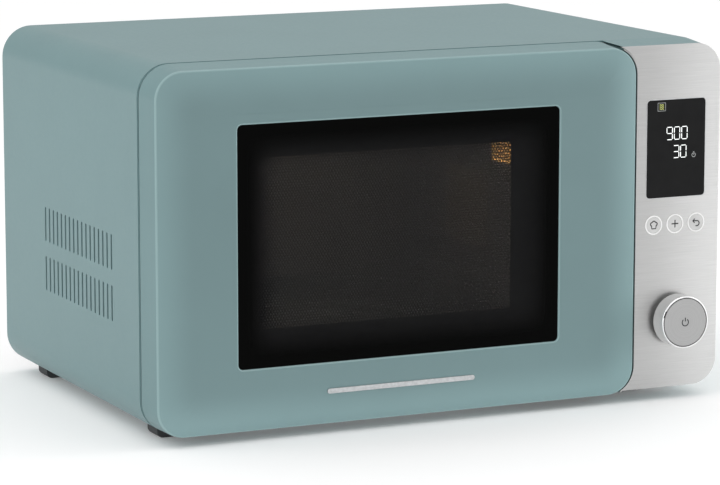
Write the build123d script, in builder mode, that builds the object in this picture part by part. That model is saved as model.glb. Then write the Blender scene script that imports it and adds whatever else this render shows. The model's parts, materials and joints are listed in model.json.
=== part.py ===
from build123d import *
from math import cos, radians, sin
import os

# Countertop microwave oven, millimetres. +X to the right, the front faces -Y, +Z up.
# The origin is the centre of the bounding box's bottom face. Depths are measured
# rearwards from the crease plane, which is the front rim of the door.

# ---------------------------------------------------------------- driving dimensions
WIDTH = 490.0
CASING_HEIGHT = 281.0
FOOT_HEIGHT = 8.0
CASING_REAR = 331.4
KNOB_REACH = 19.3

CORNER_R = 25.0
SHEET = 1.2
FIT_GAP = 0.2
FRAME_FACE = 28.8

DOOR_WIDTH = 411.0
DOOR_REAR = 27.4
DOOR_DRAFT = 3.0
DOOR_WALL = 3.0
DOOR_CREASE_R = 22.0
DOOR_EDGE_R = 3.0
DOOR_SIDE_GAP = 1.1
FACE_BACK = 2.0
# Crown of the door face: (how far it stands out, how far in from the crease, corner radius).
CROWN_STEPS = ((2.2, 7.0, 18.0), (3.4, 16.0, 13.0), (4.0, 30.0, 8.0))
CROWN = 4.0

WINDOW_LEFT = 67.5
WINDOW_RIGHT = 340.6
WINDOW_LOW = 48.9
WINDOW_HIGH = 235.6
WINDOW_R = 4.0
GLASS_FRONT = -3.4

CAVITY_LEFT = 60.0
CAVITY_RIGHT = 360.0
CAVITY_LOW = 34.0
CAVITY_HIGH = 246.0
CAVITY_REAR = 292.0
CAVITY_WALL = 0.8

HINGE_X = 8.5
HINGE_DEPTH = 7.0
HINGE_PIN_R = 2.0
HINGE_BORE_R = 2.05
HINGE_HEIGHTS = (46.0, 235.0)

KNOB_X = 447.3
KNOB_Z = 57.9
KNOB_R = 21.0
BUTTON_XS = (428.0, 447.4, 466.8)
BUTTON_Z = 134.8
BUTTON_R = 6.5
RING_R = 7.75

DISPLAY_LEFT = 420.6
DISPLAY_RIGHT = 474.2
DISPLAY_LOW = 156.2
DISPLAY_HIGH = 235.0
DISPLAY_R = 3.0

VENT_COUNT = 17
VENT_FIRST = 85.3
VENT_PITCH = 9.2
VENT_WIDTH = 2.8
VENT_HEIGHT = 28.0
VENT_ROW_CENTRES = (91.0, 131.0)

TABLE_X = 210.0
TABLE_DEPTH = 161.0
TRAY_R = 127.5
WHEEL_R = 7.5
WHEEL_TRACK_R = 90.0
ROLLING_GAP = 0.3

# ---------------------------------------------------------------- reference positions
LEFT = -WIDTH / 2
RIGHT = WIDTH / 2
BASE = FOOT_HEIGHT
TOP = BASE + CASING_HEIGHT
CREASE_Y = (KNOB_REACH - CASING_REAR) / 2
DOOR_RIGHT = LEFT + DOOR_WIDTH


def facing(depth):
    """Upright plane that faces the front, at a depth behind the crease plane."""
    return Plane.XZ.offset(-(CREASE_Y + depth))


def level(height):
    """Horizontal plane at a height above the casing's bottom."""
    return Plane.XY.offset(BASE + height)


def outline(x0, x1, z0, z1, radius):
    """Rounded rectangle in a front-facing sketch, from absolute X and Z bounds."""
    with Locations(((x0 + x1) / 2, (z0 + z1) / 2)):
        RectangleRounded(x1 - x0, z1 - z0, radius)


def panel(x0, x1, z0, z1, radius=0.0, mode=Mode.ADD):
    """Rectangle in a front-facing sketch: X from the left side, Z from the casing's bottom."""
    with Locations((LEFT + (x0 + x1) / 2, BASE + (z0 + z1) / 2)):
        if radius:
            RectangleRounded(x1 - x0, z1 - z0, radius, mode=mode)
        else:
            Rectangle(x1 - x0, z1 - z0, mode=mode)


def block(x0, x1, d0, d1, z0, z1, mode=Mode.ADD):
    """Box from the left side, the crease plane and the casing's bottom."""
    centre = (LEFT + (x0 + x1) / 2, CREASE_Y + (d0 + d1) / 2, BASE + (z0 + z1) / 2)
    with Locations(centre):
        Box(x1 - x0, d1 - d0, z1 - z0, mode=mode)


def rod(x, z, radius, d0, d1, mode=Mode.ADD):
    """Cylinder along Y between two depths, centred at x from the left and z from the bottom."""
    with Locations((LEFT + x, CREASE_Y + (d0 + d1) / 2, BASE + z)):
        Cylinder(radius, d1 - d0, rotation=(90, 0, 0), mode=mode)


def post(x, depth, radius, z0, z1, mode=Mode.ADD):
    """Cylinder along Z between two heights above the casing's bottom."""
    with Locations((LEFT + x, CREASE_Y + depth, BASE + (z0 + z1) / 2)):
        Cylinder(radius, z1 - z0, mode=mode)


def sheet(d0, d1):
    """Gives the pending front-facing sketch on the plane d1 its thickness, towards d0."""
    extrude(amount=d1 - d0)


def save(sub_part, name):
    sub_part.part.label = name
    export_step(sub_part.part, f"parts/{name}.step")


os.makedirs("parts", exist_ok=True)

# ---------------------------------------------------------------- cabinet
CURL = 30.0
CASING_LENGTH = CASING_REAR - FRAME_FACE

with BuildPart() as outer_casing:
    with BuildSketch(facing(CASING_REAR)):
        outline(LEFT, RIGHT, BASE, TOP, CORNER_R)
        with Locations((0, (BASE + TOP) / 2)):
            RectangleRounded(
                WIDTH - 2 * SHEET, CASING_HEIGHT - 2 * SHEET, CORNER_R - SHEET, mode=Mode.SUBTRACT
            )
        panel(CURL, WIDTH - CURL, -SHEET, 2 * SHEET, mode=Mode.SUBTRACT)
    extrude(amount=CASING_LENGTH)
    vent_run = (VENT_COUNT - 1) * VENT_PITCH
    for row in VENT_ROW_CENTRES:
        with BuildSketch(Plane.YZ.offset(LEFT - SHEET)):
            with Locations((CREASE_Y + VENT_FIRST + vent_run / 2, BASE + row)):
                with GridLocations(VENT_PITCH, 1, VENT_COUNT, 1):
                    SlotOverall(VENT_HEIGHT, VENT_WIDTH, rotation=90)
        extrude(amount=WIDTH + 2 * SHEET, mode=Mode.SUBTRACT)
save(outer_casing, "outer_casing")

PLATE_FRONT = FRAME_FACE + 1.4
PLATE_REAR = CASING_REAR - 11.0
LAP = 4.0
BASE_SLOTS_X = 425.0
BASE_SLOTS_DEPTH = 235.0
PEG_R = 3.0
# Front and rear foot bars: (left end, right end, front edge, rear edge).
FEET = (
    (19.0, 70.0, 42.0, 62.0),
    (300.0, 442.0, 42.0, 62.0),
    (19.0, 70.0, 288.0, 308.0),
    (300.0, 442.0, 288.0, 308.0),
)
PEG_INSET = 18.0

with BuildPart() as base_plate:
    with BuildSketch(facing(PLATE_REAR)):
        panel(CURL + FIT_GAP, WIDTH - CURL - FIT_GAP, 0, SHEET)
        panel(CURL - LAP, CURL + FIT_GAP + SHEET, SHEET, 2 * SHEET)
        panel(WIDTH - CURL - FIT_GAP - SHEET, WIDTH - CURL + LAP, SHEET, 2 * SHEET)
        panel(CURL + FIT_GAP, CURL + FIT_GAP + SHEET, 0, 2 * SHEET)
        panel(WIDTH - CURL - FIT_GAP - SHEET, WIDTH - CURL - FIT_GAP, 0, 2 * SHEET)
    sheet(PLATE_FRONT, PLATE_REAR)
    with BuildSketch(level(-SHEET)):
        with Locations((LEFT + BASE_SLOTS_X, CREASE_Y + BASE_SLOTS_DEPTH)):
            with GridLocations(8, 1, 8, 1):
                SlotOverall(44, 4, rotation=90)
    extrude(amount=3 * SHEET, mode=Mode.SUBTRACT)
    for x0, x1, d0, d1 in FEET:
        for x in (x0 + PEG_INSET, x1 - PEG_INSET):
            post(x, (d0 + d1) / 2, PEG_R, -SHEET, 3 * SHEET, mode=Mode.SUBTRACT)
save(base_plate, "base_plate")

FOOT_END_R = 5.0
with BuildPart() as feet:
    for x0, x1, d0, d1 in FEET:
        with BuildSketch(facing(d1)):
            panel(x0, x1, -FOOT_HEIGHT, 0)
        extrude(amount=d1 - d0)
    sole_edges = feet.edges().filter_by(Axis.Y).group_by(Axis.Z)[0]
    fillet(sole_edges, FOOT_END_R)
    for x0, x1, d0, d1 in FEET:
        for x in (x0 + PEG_INSET, x1 - PEG_INSET):
            post(x, (d0 + d1) / 2, PEG_R, -0.5, 2 * SHEET)
save(feet, "feet")

REAR_PANEL = CASING_REAR - 8.0
REAR_FLANGE = 9.0
GLAND_X = 452.0
GLAND_Z = 38.0
GLAND_R = 8.0
REAR_SCREWS = (
    (16.0, 60.0),
    (16.0, 220.0),
    (474.0, 60.0),
    (474.0, 220.0),
    (150.0, 268.0),
    (340.0, 268.0),
)
SCREW_R = 1.9
SCREW_HEAD_R = 4.0
INSIDE = SHEET + FIT_GAP

with BuildPart() as rear_panel:
    with BuildSketch(facing(REAR_PANEL)):
        outline(LEFT + INSIDE, RIGHT - INSIDE, BASE + 2 * SHEET + FIT_GAP, TOP - INSIDE, CORNER_R - INSIDE)
    sheet(REAR_PANEL - REAR_FLANGE, REAR_PANEL)
    with BuildSketch(facing(REAR_PANEL - SHEET)):
        outline(
            LEFT + INSIDE + SHEET,
            RIGHT - INSIDE - SHEET,
            BASE + 3 * SHEET + FIT_GAP,
            TOP - INSIDE - SHEET,
            CORNER_R - INSIDE - SHEET,
        )
    extrude(amount=REAR_FLANGE, mode=Mode.SUBTRACT)
    with BuildSketch(facing(REAR_PANEL + 1)):
        with Locations((LEFT + 424, BASE + 150)):
            with GridLocations(9, 34, 10, 3):
                SlotOverall(28, 4, rotation=90)
        with Locations((LEFT + 130, BASE + 190)):
            with GridLocations(9, 34, 12, 2):
                SlotOverall(28, 4, rotation=90)
        with Locations((LEFT + GLAND_X, BASE + GLAND_Z)):
            Circle(GLAND_R)
        for x, z in REAR_SCREWS:
            with Locations((LEFT + x, BASE + z)):
                Circle(SCREW_R)
    extrude(amount=SHEET + 2, mode=Mode.SUBTRACT)
save(rear_panel, "rear_panel")

with BuildPart() as rear_screws:
    for x, z in REAR_SCREWS:
        rod(x, z, SCREW_R, REAR_PANEL - 6, REAR_PANEL)
        rod(x, z, SCREW_HEAD_R, REAR_PANEL, REAR_PANEL + 2.2)
    for x, z in REAR_SCREWS:
        block(x - 2.6, x + 2.6, REAR_PANEL + 1.2, REAR_PANEL + 2.4, z - 0.5, z + 0.5, mode=Mode.SUBTRACT)
        block(x - 0.5, x + 0.5, REAR_PANEL + 1.2, REAR_PANEL + 2.4, z - 2.6, z + 2.6, mode=Mode.SUBTRACT)
save(rear_screws, "rear_screws")

CABLE_R = 3.6
with BuildPart() as mains_cable_gland:
    rod(GLAND_X, GLAND_Z, GLAND_R, REAR_PANEL - SHEET, REAR_PANEL)
    rod(GLAND_X, GLAND_Z, GLAND_R + 2.5, REAR_PANEL, REAR_PANEL + 2)
    rod(GLAND_X, GLAND_Z, GLAND_R - 1.5, REAR_PANEL, CASING_REAR - 0.5)
    rod(GLAND_X, GLAND_Z, GLAND_R + 1.8, REAR_PANEL - SHEET - 2.5, REAR_PANEL - SHEET)
    rod(GLAND_X, GLAND_Z, CABLE_R, REAR_PANEL - 12, CASING_REAR + 1, mode=Mode.SUBTRACT)
save(mains_cable_gland, "mains_cable_gland")

# ---------------------------------------------------------------- front plate and cavity
FLANGE = 8.0
ARM_SLOT = (30.5, 38.5)
LATCH_X = 391.0
LATCH_HEIGHTS = (64.0, 222.0)
LATCH_SLOT_WIDTH = 9.0
LATCH_SLOT_HEIGHT = 24.0
FRAME_REAR = FRAME_FACE + 1.0

with BuildPart() as front_plate:
    with BuildSketch(facing(FRAME_REAR + FLANGE)):
        outline(LEFT + INSIDE, RIGHT - INSIDE, BASE + INSIDE, TOP - INSIDE, CORNER_R - INSIDE)
    sheet(FRAME_FACE, FRAME_REAR + FLANGE)
    with BuildSketch(facing(FRAME_REAR + FLANGE)):
        outline(
            LEFT + INSIDE + 1,
            RIGHT - INSIDE - 1,
            BASE + INSIDE + 1,
            TOP - INSIDE - 1,
            CORNER_R - INSIDE - 1,
        )
    extrude(amount=FLANGE, mode=Mode.SUBTRACT)
    with BuildSketch(facing(FRAME_REAR + FLANGE)):
        panel(CURL - LAP - 0.6, WIDTH - CURL + LAP + 0.6, 0, 4)
    extrude(amount=FLANGE, mode=Mode.SUBTRACT)
    with BuildSketch(facing(FRAME_REAR)):
        panel(CAVITY_LEFT, CAVITY_RIGHT, CAVITY_LOW, CAVITY_HIGH)
        for z in HINGE_HEIGHTS:
            panel(ARM_SLOT[0], ARM_SLOT[1], z - 2.5, z + 2.5)
        for z in LATCH_HEIGHTS:
            with Locations((LEFT + LATCH_X, BASE + z)):
                Rectangle(LATCH_SLOT_WIDTH, LATCH_SLOT_HEIGHT)
        panel(430, 460, 110, 140)
    extrude(amount=FRAME_REAR - FRAME_FACE, mode=Mode.SUBTRACT)
save(front_plate, "front_plate")

LAMP_DEPTHS = (100.0, 150.0)
LAMP_HEIGHTS = (172.0, 194.0)
LAMP_CENTRE = (125.0, 183.0)
FEED_CENTRE = (194.0, 128.0)
FEED_SIZE = (60.0, 48.0)
SHAFT_HOLE_R = 8.0
CAVITY_LIP = 7.0
SEAM = 0.05
OUTLET_CENTRE = (240.0, 215.0)
OUTLET_PITCH = 6.0
OUTLET_HOLE_R = 1.6
WALL_LOW = CAVITY_LOW - CAVITY_WALL
WALL_HIGH = CAVITY_HIGH + CAVITY_WALL
LIP_REAR = FRAME_REAR + CAVITY_WALL

# five welded sheets: each side wall, the roof and the floor end in a lip behind the front plate
with BuildPart() as oven_cavity:
    block(CAVITY_LEFT - CAVITY_WALL, CAVITY_LEFT, FRAME_REAR, CAVITY_REAR, WALL_LOW, WALL_HIGH)
    block(CAVITY_LEFT - CAVITY_LIP, CAVITY_LEFT, FRAME_REAR, LIP_REAR, WALL_LOW, WALL_HIGH)
    block(CAVITY_RIGHT, CAVITY_RIGHT + CAVITY_WALL, FRAME_REAR, CAVITY_REAR, WALL_LOW, WALL_HIGH)
    block(CAVITY_RIGHT, CAVITY_RIGHT + CAVITY_LIP, FRAME_REAR, LIP_REAR, WALL_LOW, WALL_HIGH)
    between = (CAVITY_LEFT + SEAM, CAVITY_RIGHT - SEAM)
    block(*between, FRAME_REAR, CAVITY_REAR, CAVITY_HIGH, WALL_HIGH)
    block(*between, FRAME_REAR, LIP_REAR, CAVITY_HIGH, CAVITY_HIGH + CAVITY_LIP)
    block(*between, FRAME_REAR, CAVITY_REAR, WALL_LOW, CAVITY_LOW)
    block(*between, FRAME_REAR, LIP_REAR, CAVITY_LOW - CAVITY_LIP, CAVITY_LOW)
    block(
        CAVITY_LEFT - CAVITY_WALL,
        CAVITY_RIGHT + CAVITY_WALL,
        CAVITY_REAR + SEAM,
        CAVITY_REAR + SEAM + CAVITY_WALL,
        WALL_LOW,
        WALL_HIGH,
    )
    # lamp window and microwave feed in the right wall, shaft hole in the floor
    with BuildSketch(Plane.YZ.offset(LEFT + CAVITY_RIGHT - CAVITY_WALL)):
        with Locations((CREASE_Y + FEED_CENTRE[0], BASE + FEED_CENTRE[1])):
            Rectangle(*FEED_SIZE)
        with Locations((CREASE_Y + sum(LAMP_DEPTHS) / 2, BASE + sum(LAMP_HEIGHTS) / 2)):
            Rectangle(LAMP_DEPTHS[1] - LAMP_DEPTHS[0], LAMP_HEIGHTS[1] - LAMP_HEIGHTS[0])
    extrude(amount=3 * CAVITY_WALL, mode=Mode.SUBTRACT)
    post(TABLE_X, TABLE_DEPTH, SHAFT_HOLE_R, CAVITY_LOW - 3, CAVITY_LOW + 3, mode=Mode.SUBTRACT)
    # air outlet holes high in the left wall
    with BuildSketch(Plane.YZ.offset(LEFT + CAVITY_LEFT - 2 * CAVITY_WALL)):
        with Locations((CREASE_Y + OUTLET_CENTRE[0], BASE + OUTLET_CENTRE[1])):
            with GridLocations(OUTLET_PITCH, OUTLET_PITCH, 9, 5):
                Circle(OUTLET_HOLE_R)
    extrude(amount=3 * CAVITY_WALL, mode=Mode.SUBTRACT)
save(oven_cavity, "oven_cavity")

GRILLE_PITCH = 3.6
GRILLE_HOLE_R = 1.2
with BuildPart() as lamp_grille:
    block(CAVITY_RIGHT, CAVITY_RIGHT + CAVITY_WALL, *LAMP_DEPTHS, *LAMP_HEIGHTS)
    with BuildSketch(Plane.YZ.offset(LEFT + CAVITY_RIGHT - 1)):
        with Locations((CREASE_Y + sum(LAMP_DEPTHS) / 2, BASE + sum(LAMP_HEIGHTS) / 2)):
            with GridLocations(GRILLE_PITCH, GRILLE_PITCH, 13, 6):
                Circle(GRILLE_HOLE_R)
    extrude(amount=3, mode=Mode.SUBTRACT)
save(lamp_grille, "lamp_grille")

FEED_LAP = 8.0
with BuildPart() as waveguide_cover:
    with BuildSketch(Plane.YZ.offset(LEFT + CAVITY_RIGHT - 1)):
        with Locations((CREASE_Y + FEED_CENTRE[0], BASE + FEED_CENTRE[1])):
            RectangleRounded(FEED_SIZE[0] + 2 * FEED_LAP, FEED_SIZE[1] + 2 * FEED_LAP, 5)
    extrude(amount=1)
save(waveguide_cover, "waveguide_cover")

# ---------------------------------------------------------------- hinge arms
ARM_HALF = 1.5
ARM_HALF_WIDTH = 2.5
ARM_ROOT = (31.5, 37.5)
with BuildPart() as hinge_arms:
    for z in HINGE_HEIGHTS:
        with BuildSketch(level(z - ARM_HALF)):
            with Locations((LEFT + HINGE_X, CREASE_Y + HINGE_DEPTH)):
                Circle(4.0)
            with Locations((LEFT + (HINGE_X + ARM_ROOT[1]) / 2, CREASE_Y + HINGE_DEPTH)):
                Rectangle(ARM_ROOT[1] - HINGE_X, 2 * ARM_HALF_WIDTH)
            with Locations(
                (LEFT + sum(ARM_ROOT) / 2, CREASE_Y + (HINGE_DEPTH - ARM_HALF_WIDTH + FRAME_REAR) / 2)
            ):
                Rectangle(ARM_ROOT[1] - ARM_ROOT[0], FRAME_REAR - HINGE_DEPTH + ARM_HALF_WIDTH)
            with Locations((LEFT + HINGE_X, CREASE_Y + HINGE_DEPTH)):
                Circle(HINGE_BORE_R, mode=Mode.SUBTRACT)
        extrude(amount=2 * ARM_HALF)
        block(24, 50, FRAME_REAR, FRAME_REAR + 2, z - 9, z + 9)
save(hinge_arms, "hinge_arms")

# ---------------------------------------------------------------- control panel
HOUSING_START = DOOR_WIDTH - 15.0
HOUSING_FRONT = 1.5
HOUSING_WALL = 2.5
PANEL_INSET = 3.0

with BuildPart() as control_housing:
    with BuildSketch(facing(FRAME_FACE)):
        outline(LEFT + 300, RIGHT, BASE, TOP, CORNER_R)
    with BuildSketch(facing(HOUSING_FRONT)):
        outline(LEFT + 300, RIGHT - PANEL_INSET, BASE + 2.6, TOP - 2.4, 22.0)
    loft(ruled=True)
    # the pocket that the door closes into, round the door's own corners
    with BuildSketch(facing(FRAME_FACE + 1)):
        outline(
            LEFT - 50,
            DOOR_RIGHT + DOOR_SIDE_GAP,
            BASE - DOOR_SIDE_GAP,
            TOP + DOOR_SIDE_GAP,
            CORNER_R + DOOR_SIDE_GAP,
        )
    extrude(amount=FRAME_FACE + 3, mode=Mode.SUBTRACT)
    block(250, HOUSING_START, -5, FRAME_FACE + 5, -5, CASING_HEIGHT + 5, mode=Mode.SUBTRACT)
    # hollow from behind
    with BuildSketch(facing(FRAME_FACE)):
        panel(DOOR_WIDTH + DOOR_SIDE_GAP + HOUSING_WALL, WIDTH - 5.5, 6, CASING_HEIGHT - 6, radius=16)
    extrude(amount=FRAME_FACE - HOUSING_FRONT - HOUSING_WALL, mode=Mode.SUBTRACT)
    # holes for the display, the buttons and the knob
    with BuildSketch(facing(HOUSING_FRONT + HOUSING_WALL)):
        panel(DISPLAY_LEFT + 4, DISPLAY_RIGHT - 4, DISPLAY_LOW + 4, DISPLAY_HIGH - 4)
        for x in BUTTON_XS:
            with Locations((LEFT + x, BASE + BUTTON_Z)):
                Circle(3.2)
        with Locations((LEFT + KNOB_X, BASE + KNOB_Z)):
            Circle(6.8)
    extrude(amount=HOUSING_WALL + 1, mode=Mode.SUBTRACT)
save(control_housing, "control_housing")

with BuildPart() as control_fascia:
    with BuildSketch(facing(HOUSING_FRONT)):
        outline(LEFT + 300, RIGHT - PANEL_INSET, BASE + 2.6, TOP - 2.4, 21.6)
        with Locations((LEFT + 150, (BASE + TOP) / 2 - 0.55)):
            RectangleRounded(
                2 * (DOOR_WIDTH - 150 + 0.7), CASING_HEIGHT - 1.1, 23.0, mode=Mode.SUBTRACT
            )
        panel(250, HOUSING_START, -5, CASING_HEIGHT + 5, mode=Mode.SUBTRACT)
        panel(DISPLAY_LEFT, DISPLAY_RIGHT, DISPLAY_LOW, DISPLAY_HIGH, radius=DISPLAY_R, mode=Mode.SUBTRACT)
        for x in BUTTON_XS:
            with Locations((LEFT + x, BASE + BUTTON_Z)):
                Circle(RING_R + 0.05, mode=Mode.SUBTRACT)
        with Locations((LEFT + KNOB_X, BASE + KNOB_Z)):
            Circle(6.8, mode=Mode.SUBTRACT)
    extrude(amount=HOUSING_FRONT)
save(control_fascia, "control_fascia")

with BuildPart() as display_glass:
    with BuildSketch(facing(HOUSING_FRONT)):
        panel(
            DISPLAY_LEFT + 0.2,
            DISPLAY_RIGHT - 0.2,
            DISPLAY_LOW + 0.2,
            DISPLAY_HIGH - 0.2,
            radius=DISPLAY_R,
        )
    extrude(amount=HOUSING_FRONT + 0.2)
save(display_glass, "display_glass")

BOARD_DEPTH = 17.0
with BuildPart() as display_module:
    block(425, 470, HOUSING_FRONT + HOUSING_WALL, 9, 161, 230)
    block(432, 463, 9, BOARD_DEPTH, 214, 222)
save(display_module, "display_module")

with BuildPart() as control_board:
    block(418, 481, BOARD_DEPTH, BOARD_DEPTH + 1.6, 34, 244)
    block(424, 438, BOARD_DEPTH + 1.6, 24, 70, 84)
    block(446, 476, BOARD_DEPTH + 1.6, 26, 96, 122)
    block(424, 442, BOARD_DEPTH + 1.6, 22, 180, 190)
save(control_board, "control_board")

with BuildPart() as button_switches:
    for x in BUTTON_XS:
        block(x - 3, x + 3, 15.3, BOARD_DEPTH, BUTTON_Z - 3, BUTTON_Z + 3)
save(button_switches, "button_switches")

with BuildPart() as button_rings:
    for x in BUTTON_XS:
        rod(x, BUTTON_Z, RING_R, -0.5, HOUSING_FRONT)
        rod(x, BUTTON_Z, BUTTON_R + 0.15, -2, HOUSING_FRONT + 1, mode=Mode.SUBTRACT)
save(button_rings, "button_rings")

for name, x in zip(("recipe", "plus", "back"), BUTTON_XS):
    with BuildPart() as button:
        rod(x, BUTTON_Z, BUTTON_R, -0.4, 0.6)
        rod(x, BUTTON_Z, 2.5, 0.6, 14.4)
    save(button, f"button_{name}")

# ---------------------------------------------------------------- knob and encoder
KNOB_BACK = -4.5
SHAFT_R = 3.0
SLEEVE_R = 4.6
with BuildPart() as knob_body:
    rod(KNOB_X, KNOB_Z, KNOB_R, -KNOB_REACH, KNOB_BACK)
    rim = knob_body.edges().filter_by(GeomType.CIRCLE).sort_by(Axis.Y)[0]
    chamfer(rim, 0.6)
    rod(KNOB_X, KNOB_Z, 19.6, -KNOB_REACH - 1, -KNOB_REACH + 1.0, mode=Mode.SUBTRACT)
    rod(KNOB_X, KNOB_Z, 12.0, KNOB_BACK, -2.2)
    rod(KNOB_X, KNOB_Z, SHAFT_R, -13, 0, mode=Mode.SUBTRACT)
save(knob_body, "knob_body")

with BuildPart() as knob_face:
    rod(KNOB_X, KNOB_Z, 19.3, -KNOB_REACH + 0.1, -KNOB_REACH + 1.0)
save(knob_face, "knob_face")

with BuildPart() as encoder_shaft:
    rod(KNOB_X, KNOB_Z, SHAFT_R, -13, 8)
save(encoder_shaft, "encoder_shaft")

with BuildPart() as encoder_plunger:
    rod(KNOB_X, KNOB_Z, SLEEVE_R, 2, 10)
    rod(KNOB_X, KNOB_Z, SHAFT_R + 0.05, 1, 11, mode=Mode.SUBTRACT)
save(encoder_plunger, "encoder_plunger")

with BuildPart() as knob_encoder:
    block(KNOB_X - 7, KNOB_X + 7, 12, BOARD_DEPTH, KNOB_Z - 7, KNOB_Z + 7)
    rod(KNOB_X, KNOB_Z, 6.6, 1.8, 12)
    rod(KNOB_X, KNOB_Z, SLEEVE_R + 0.05, 0, 12, mode=Mode.SUBTRACT)
save(knob_encoder, "knob_encoder")

# ---------------------------------------------------------------- electronics bay
BAY_FLOOR = SHEET
GUIDE_REACH = 392.0
GUIDE_WALL = 1.0
GUIDE_DEPTHS = (156.0, 232.0)
GUIDE_HEIGHTS = (98.0, 204.0)
MAGNETRON_DEPTH = 194.0
MAGNETRON_Z = 172.0
ANTENNA_R = 8.5
with BuildPart() as waveguide:
    block(CAVITY_RIGHT + CAVITY_WALL, GUIDE_REACH, *GUIDE_DEPTHS, *GUIDE_HEIGHTS)
    block(
        CAVITY_RIGHT + CAVITY_WALL + GUIDE_WALL,
        GUIDE_REACH - GUIDE_WALL,
        GUIDE_DEPTHS[0] + GUIDE_WALL,
        GUIDE_DEPTHS[1] - GUIDE_WALL,
        GUIDE_HEIGHTS[0] + GUIDE_WALL,
        GUIDE_HEIGHTS[1] - GUIDE_WALL,
        mode=Mode.SUBTRACT,
    )
    with BuildSketch(Plane.YZ.offset(LEFT + CAVITY_RIGHT)):
        with Locations((CREASE_Y + FEED_CENTRE[0], BASE + FEED_CENTRE[1])):
            Rectangle(*FEED_SIZE)
    extrude(amount=4 * GUIDE_WALL, mode=Mode.SUBTRACT)
    with BuildSketch(Plane.YZ.offset(LEFT + GUIDE_REACH - 2 * GUIDE_WALL)):
        with Locations((CREASE_Y + MAGNETRON_DEPTH, BASE + MAGNETRON_Z)):
            Circle(ANTENNA_R + 1)
    extrude(amount=4 * GUIDE_WALL, mode=Mode.SUBTRACT)
save(waveguide, "waveguide")

# frame open to the fan's air, cooling fins round the anode, filter box on the right
YOKE_LEFT = 394.0
YOKE_RIGHT = 462.0
YOKE_HALF_DEPTH = 38.0
YOKE_HALF_HEIGHT = 34.0
FIN_PITCH = 6.0
with BuildPart() as magnetron:
    with BuildSketch(Plane.YZ.offset(LEFT + GUIDE_REACH)):
        with Locations((CREASE_Y + MAGNETRON_DEPTH, BASE + MAGNETRON_Z)):
            Rectangle(88, 72)
    extrude(amount=2)
    with BuildSketch(Plane.YZ.offset(LEFT + YOKE_LEFT)):
        with Locations((CREASE_Y + MAGNETRON_DEPTH, BASE + MAGNETRON_Z)):
            Rectangle(2 * YOKE_HALF_DEPTH, 2 * YOKE_HALF_HEIGHT)
    extrude(amount=YOKE_RIGHT - YOKE_LEFT)
    with BuildSketch(Plane.YZ.offset(LEFT + YOKE_LEFT + 2)):
        with Locations((CREASE_Y + MAGNETRON_DEPTH, BASE + MAGNETRON_Z)):
            Rectangle(2 * YOKE_HALF_DEPTH + 2, 2 * YOKE_HALF_HEIGHT - 6)
    extrude(amount=YOKE_RIGHT - YOKE_LEFT - 4, mode=Mode.SUBTRACT)
    with BuildSketch(Plane.YZ.offset(LEFT + 374)):
        with Locations((CREASE_Y + MAGNETRON_DEPTH, BASE + MAGNETRON_Z)):
            Circle(ANTENNA_R)
    extrude(amount=20)
    with BuildSketch(Plane.YZ.offset(LEFT + YOKE_LEFT)):
        with Locations((CREASE_Y + MAGNETRON_DEPTH, BASE + MAGNETRON_Z)):
            Circle(19)
    extrude(amount=YOKE_RIGHT - YOKE_LEFT)
    for fin in range(10):
        with BuildSketch(Plane.YZ.offset(LEFT + YOKE_LEFT + 8 + fin * FIN_PITCH)):
            with Locations((CREASE_Y + MAGNETRON_DEPTH, BASE + MAGNETRON_Z)):
                Rectangle(2 * YOKE_HALF_DEPTH - 4, 2 * YOKE_HALF_HEIGHT - 6)
        extrude(amount=1)
    with BuildSketch(Plane.YZ.offset(LEFT + YOKE_RIGHT)):
        with Locations((CREASE_Y + MAGNETRON_DEPTH, BASE + MAGNETRON_Z)):
            Rectangle(56, 48)
    extrude(amount=20)
save(magnetron, "magnetron")

CORE_LEFT = 372.0
CORE_RIGHT = 450.0
CORE_FRONT = 66.0
CORE_REAR = 130.0
CORE_HEIGHT = 66.0
CORE_WINDOWS = ((383.0, 397.0), (425.0, 439.0))
CORE_FOOT = 6.0
CORE_FOOT_INSET = 8.0
CORE_FOOT_THICKNESS = 2.0
COIL_LEFT = 385.0
COIL_RIGHT = 437.0
COIL_LOW = BAY_FLOOR + 16
COIL_HIGH = BAY_FLOOR + 50
COIL_OVERHANG = 10.0
COIL_PLAY = 2.0
with BuildPart() as high_voltage_transformer:
    block(CORE_LEFT, CORE_RIGHT, CORE_FRONT, CORE_REAR, BAY_FLOOR, BAY_FLOOR + CORE_HEIGHT)
    for left, right in CORE_WINDOWS:
        block(
            left,
            right,
            CORE_FRONT - COIL_OVERHANG,
            CORE_REAR + COIL_OVERHANG,
            COIL_LOW - COIL_PLAY,
            COIL_HIGH + COIL_PLAY,
            mode=Mode.SUBTRACT,
        )
    block(COIL_LEFT, COIL_RIGHT, CORE_FRONT - COIL_OVERHANG, CORE_REAR + COIL_OVERHANG, COIL_LOW, COIL_HIGH)
    block(
        CORE_LEFT - CORE_FOOT,
        CORE_RIGHT + CORE_FOOT,
        CORE_FRONT + CORE_FOOT_INSET,
        CORE_REAR - CORE_FOOT_INSET,
        BAY_FLOOR,
        BAY_FLOOR + CORE_FOOT_THICKNESS,
    )
save(high_voltage_transformer, "high_voltage_transformer")

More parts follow.
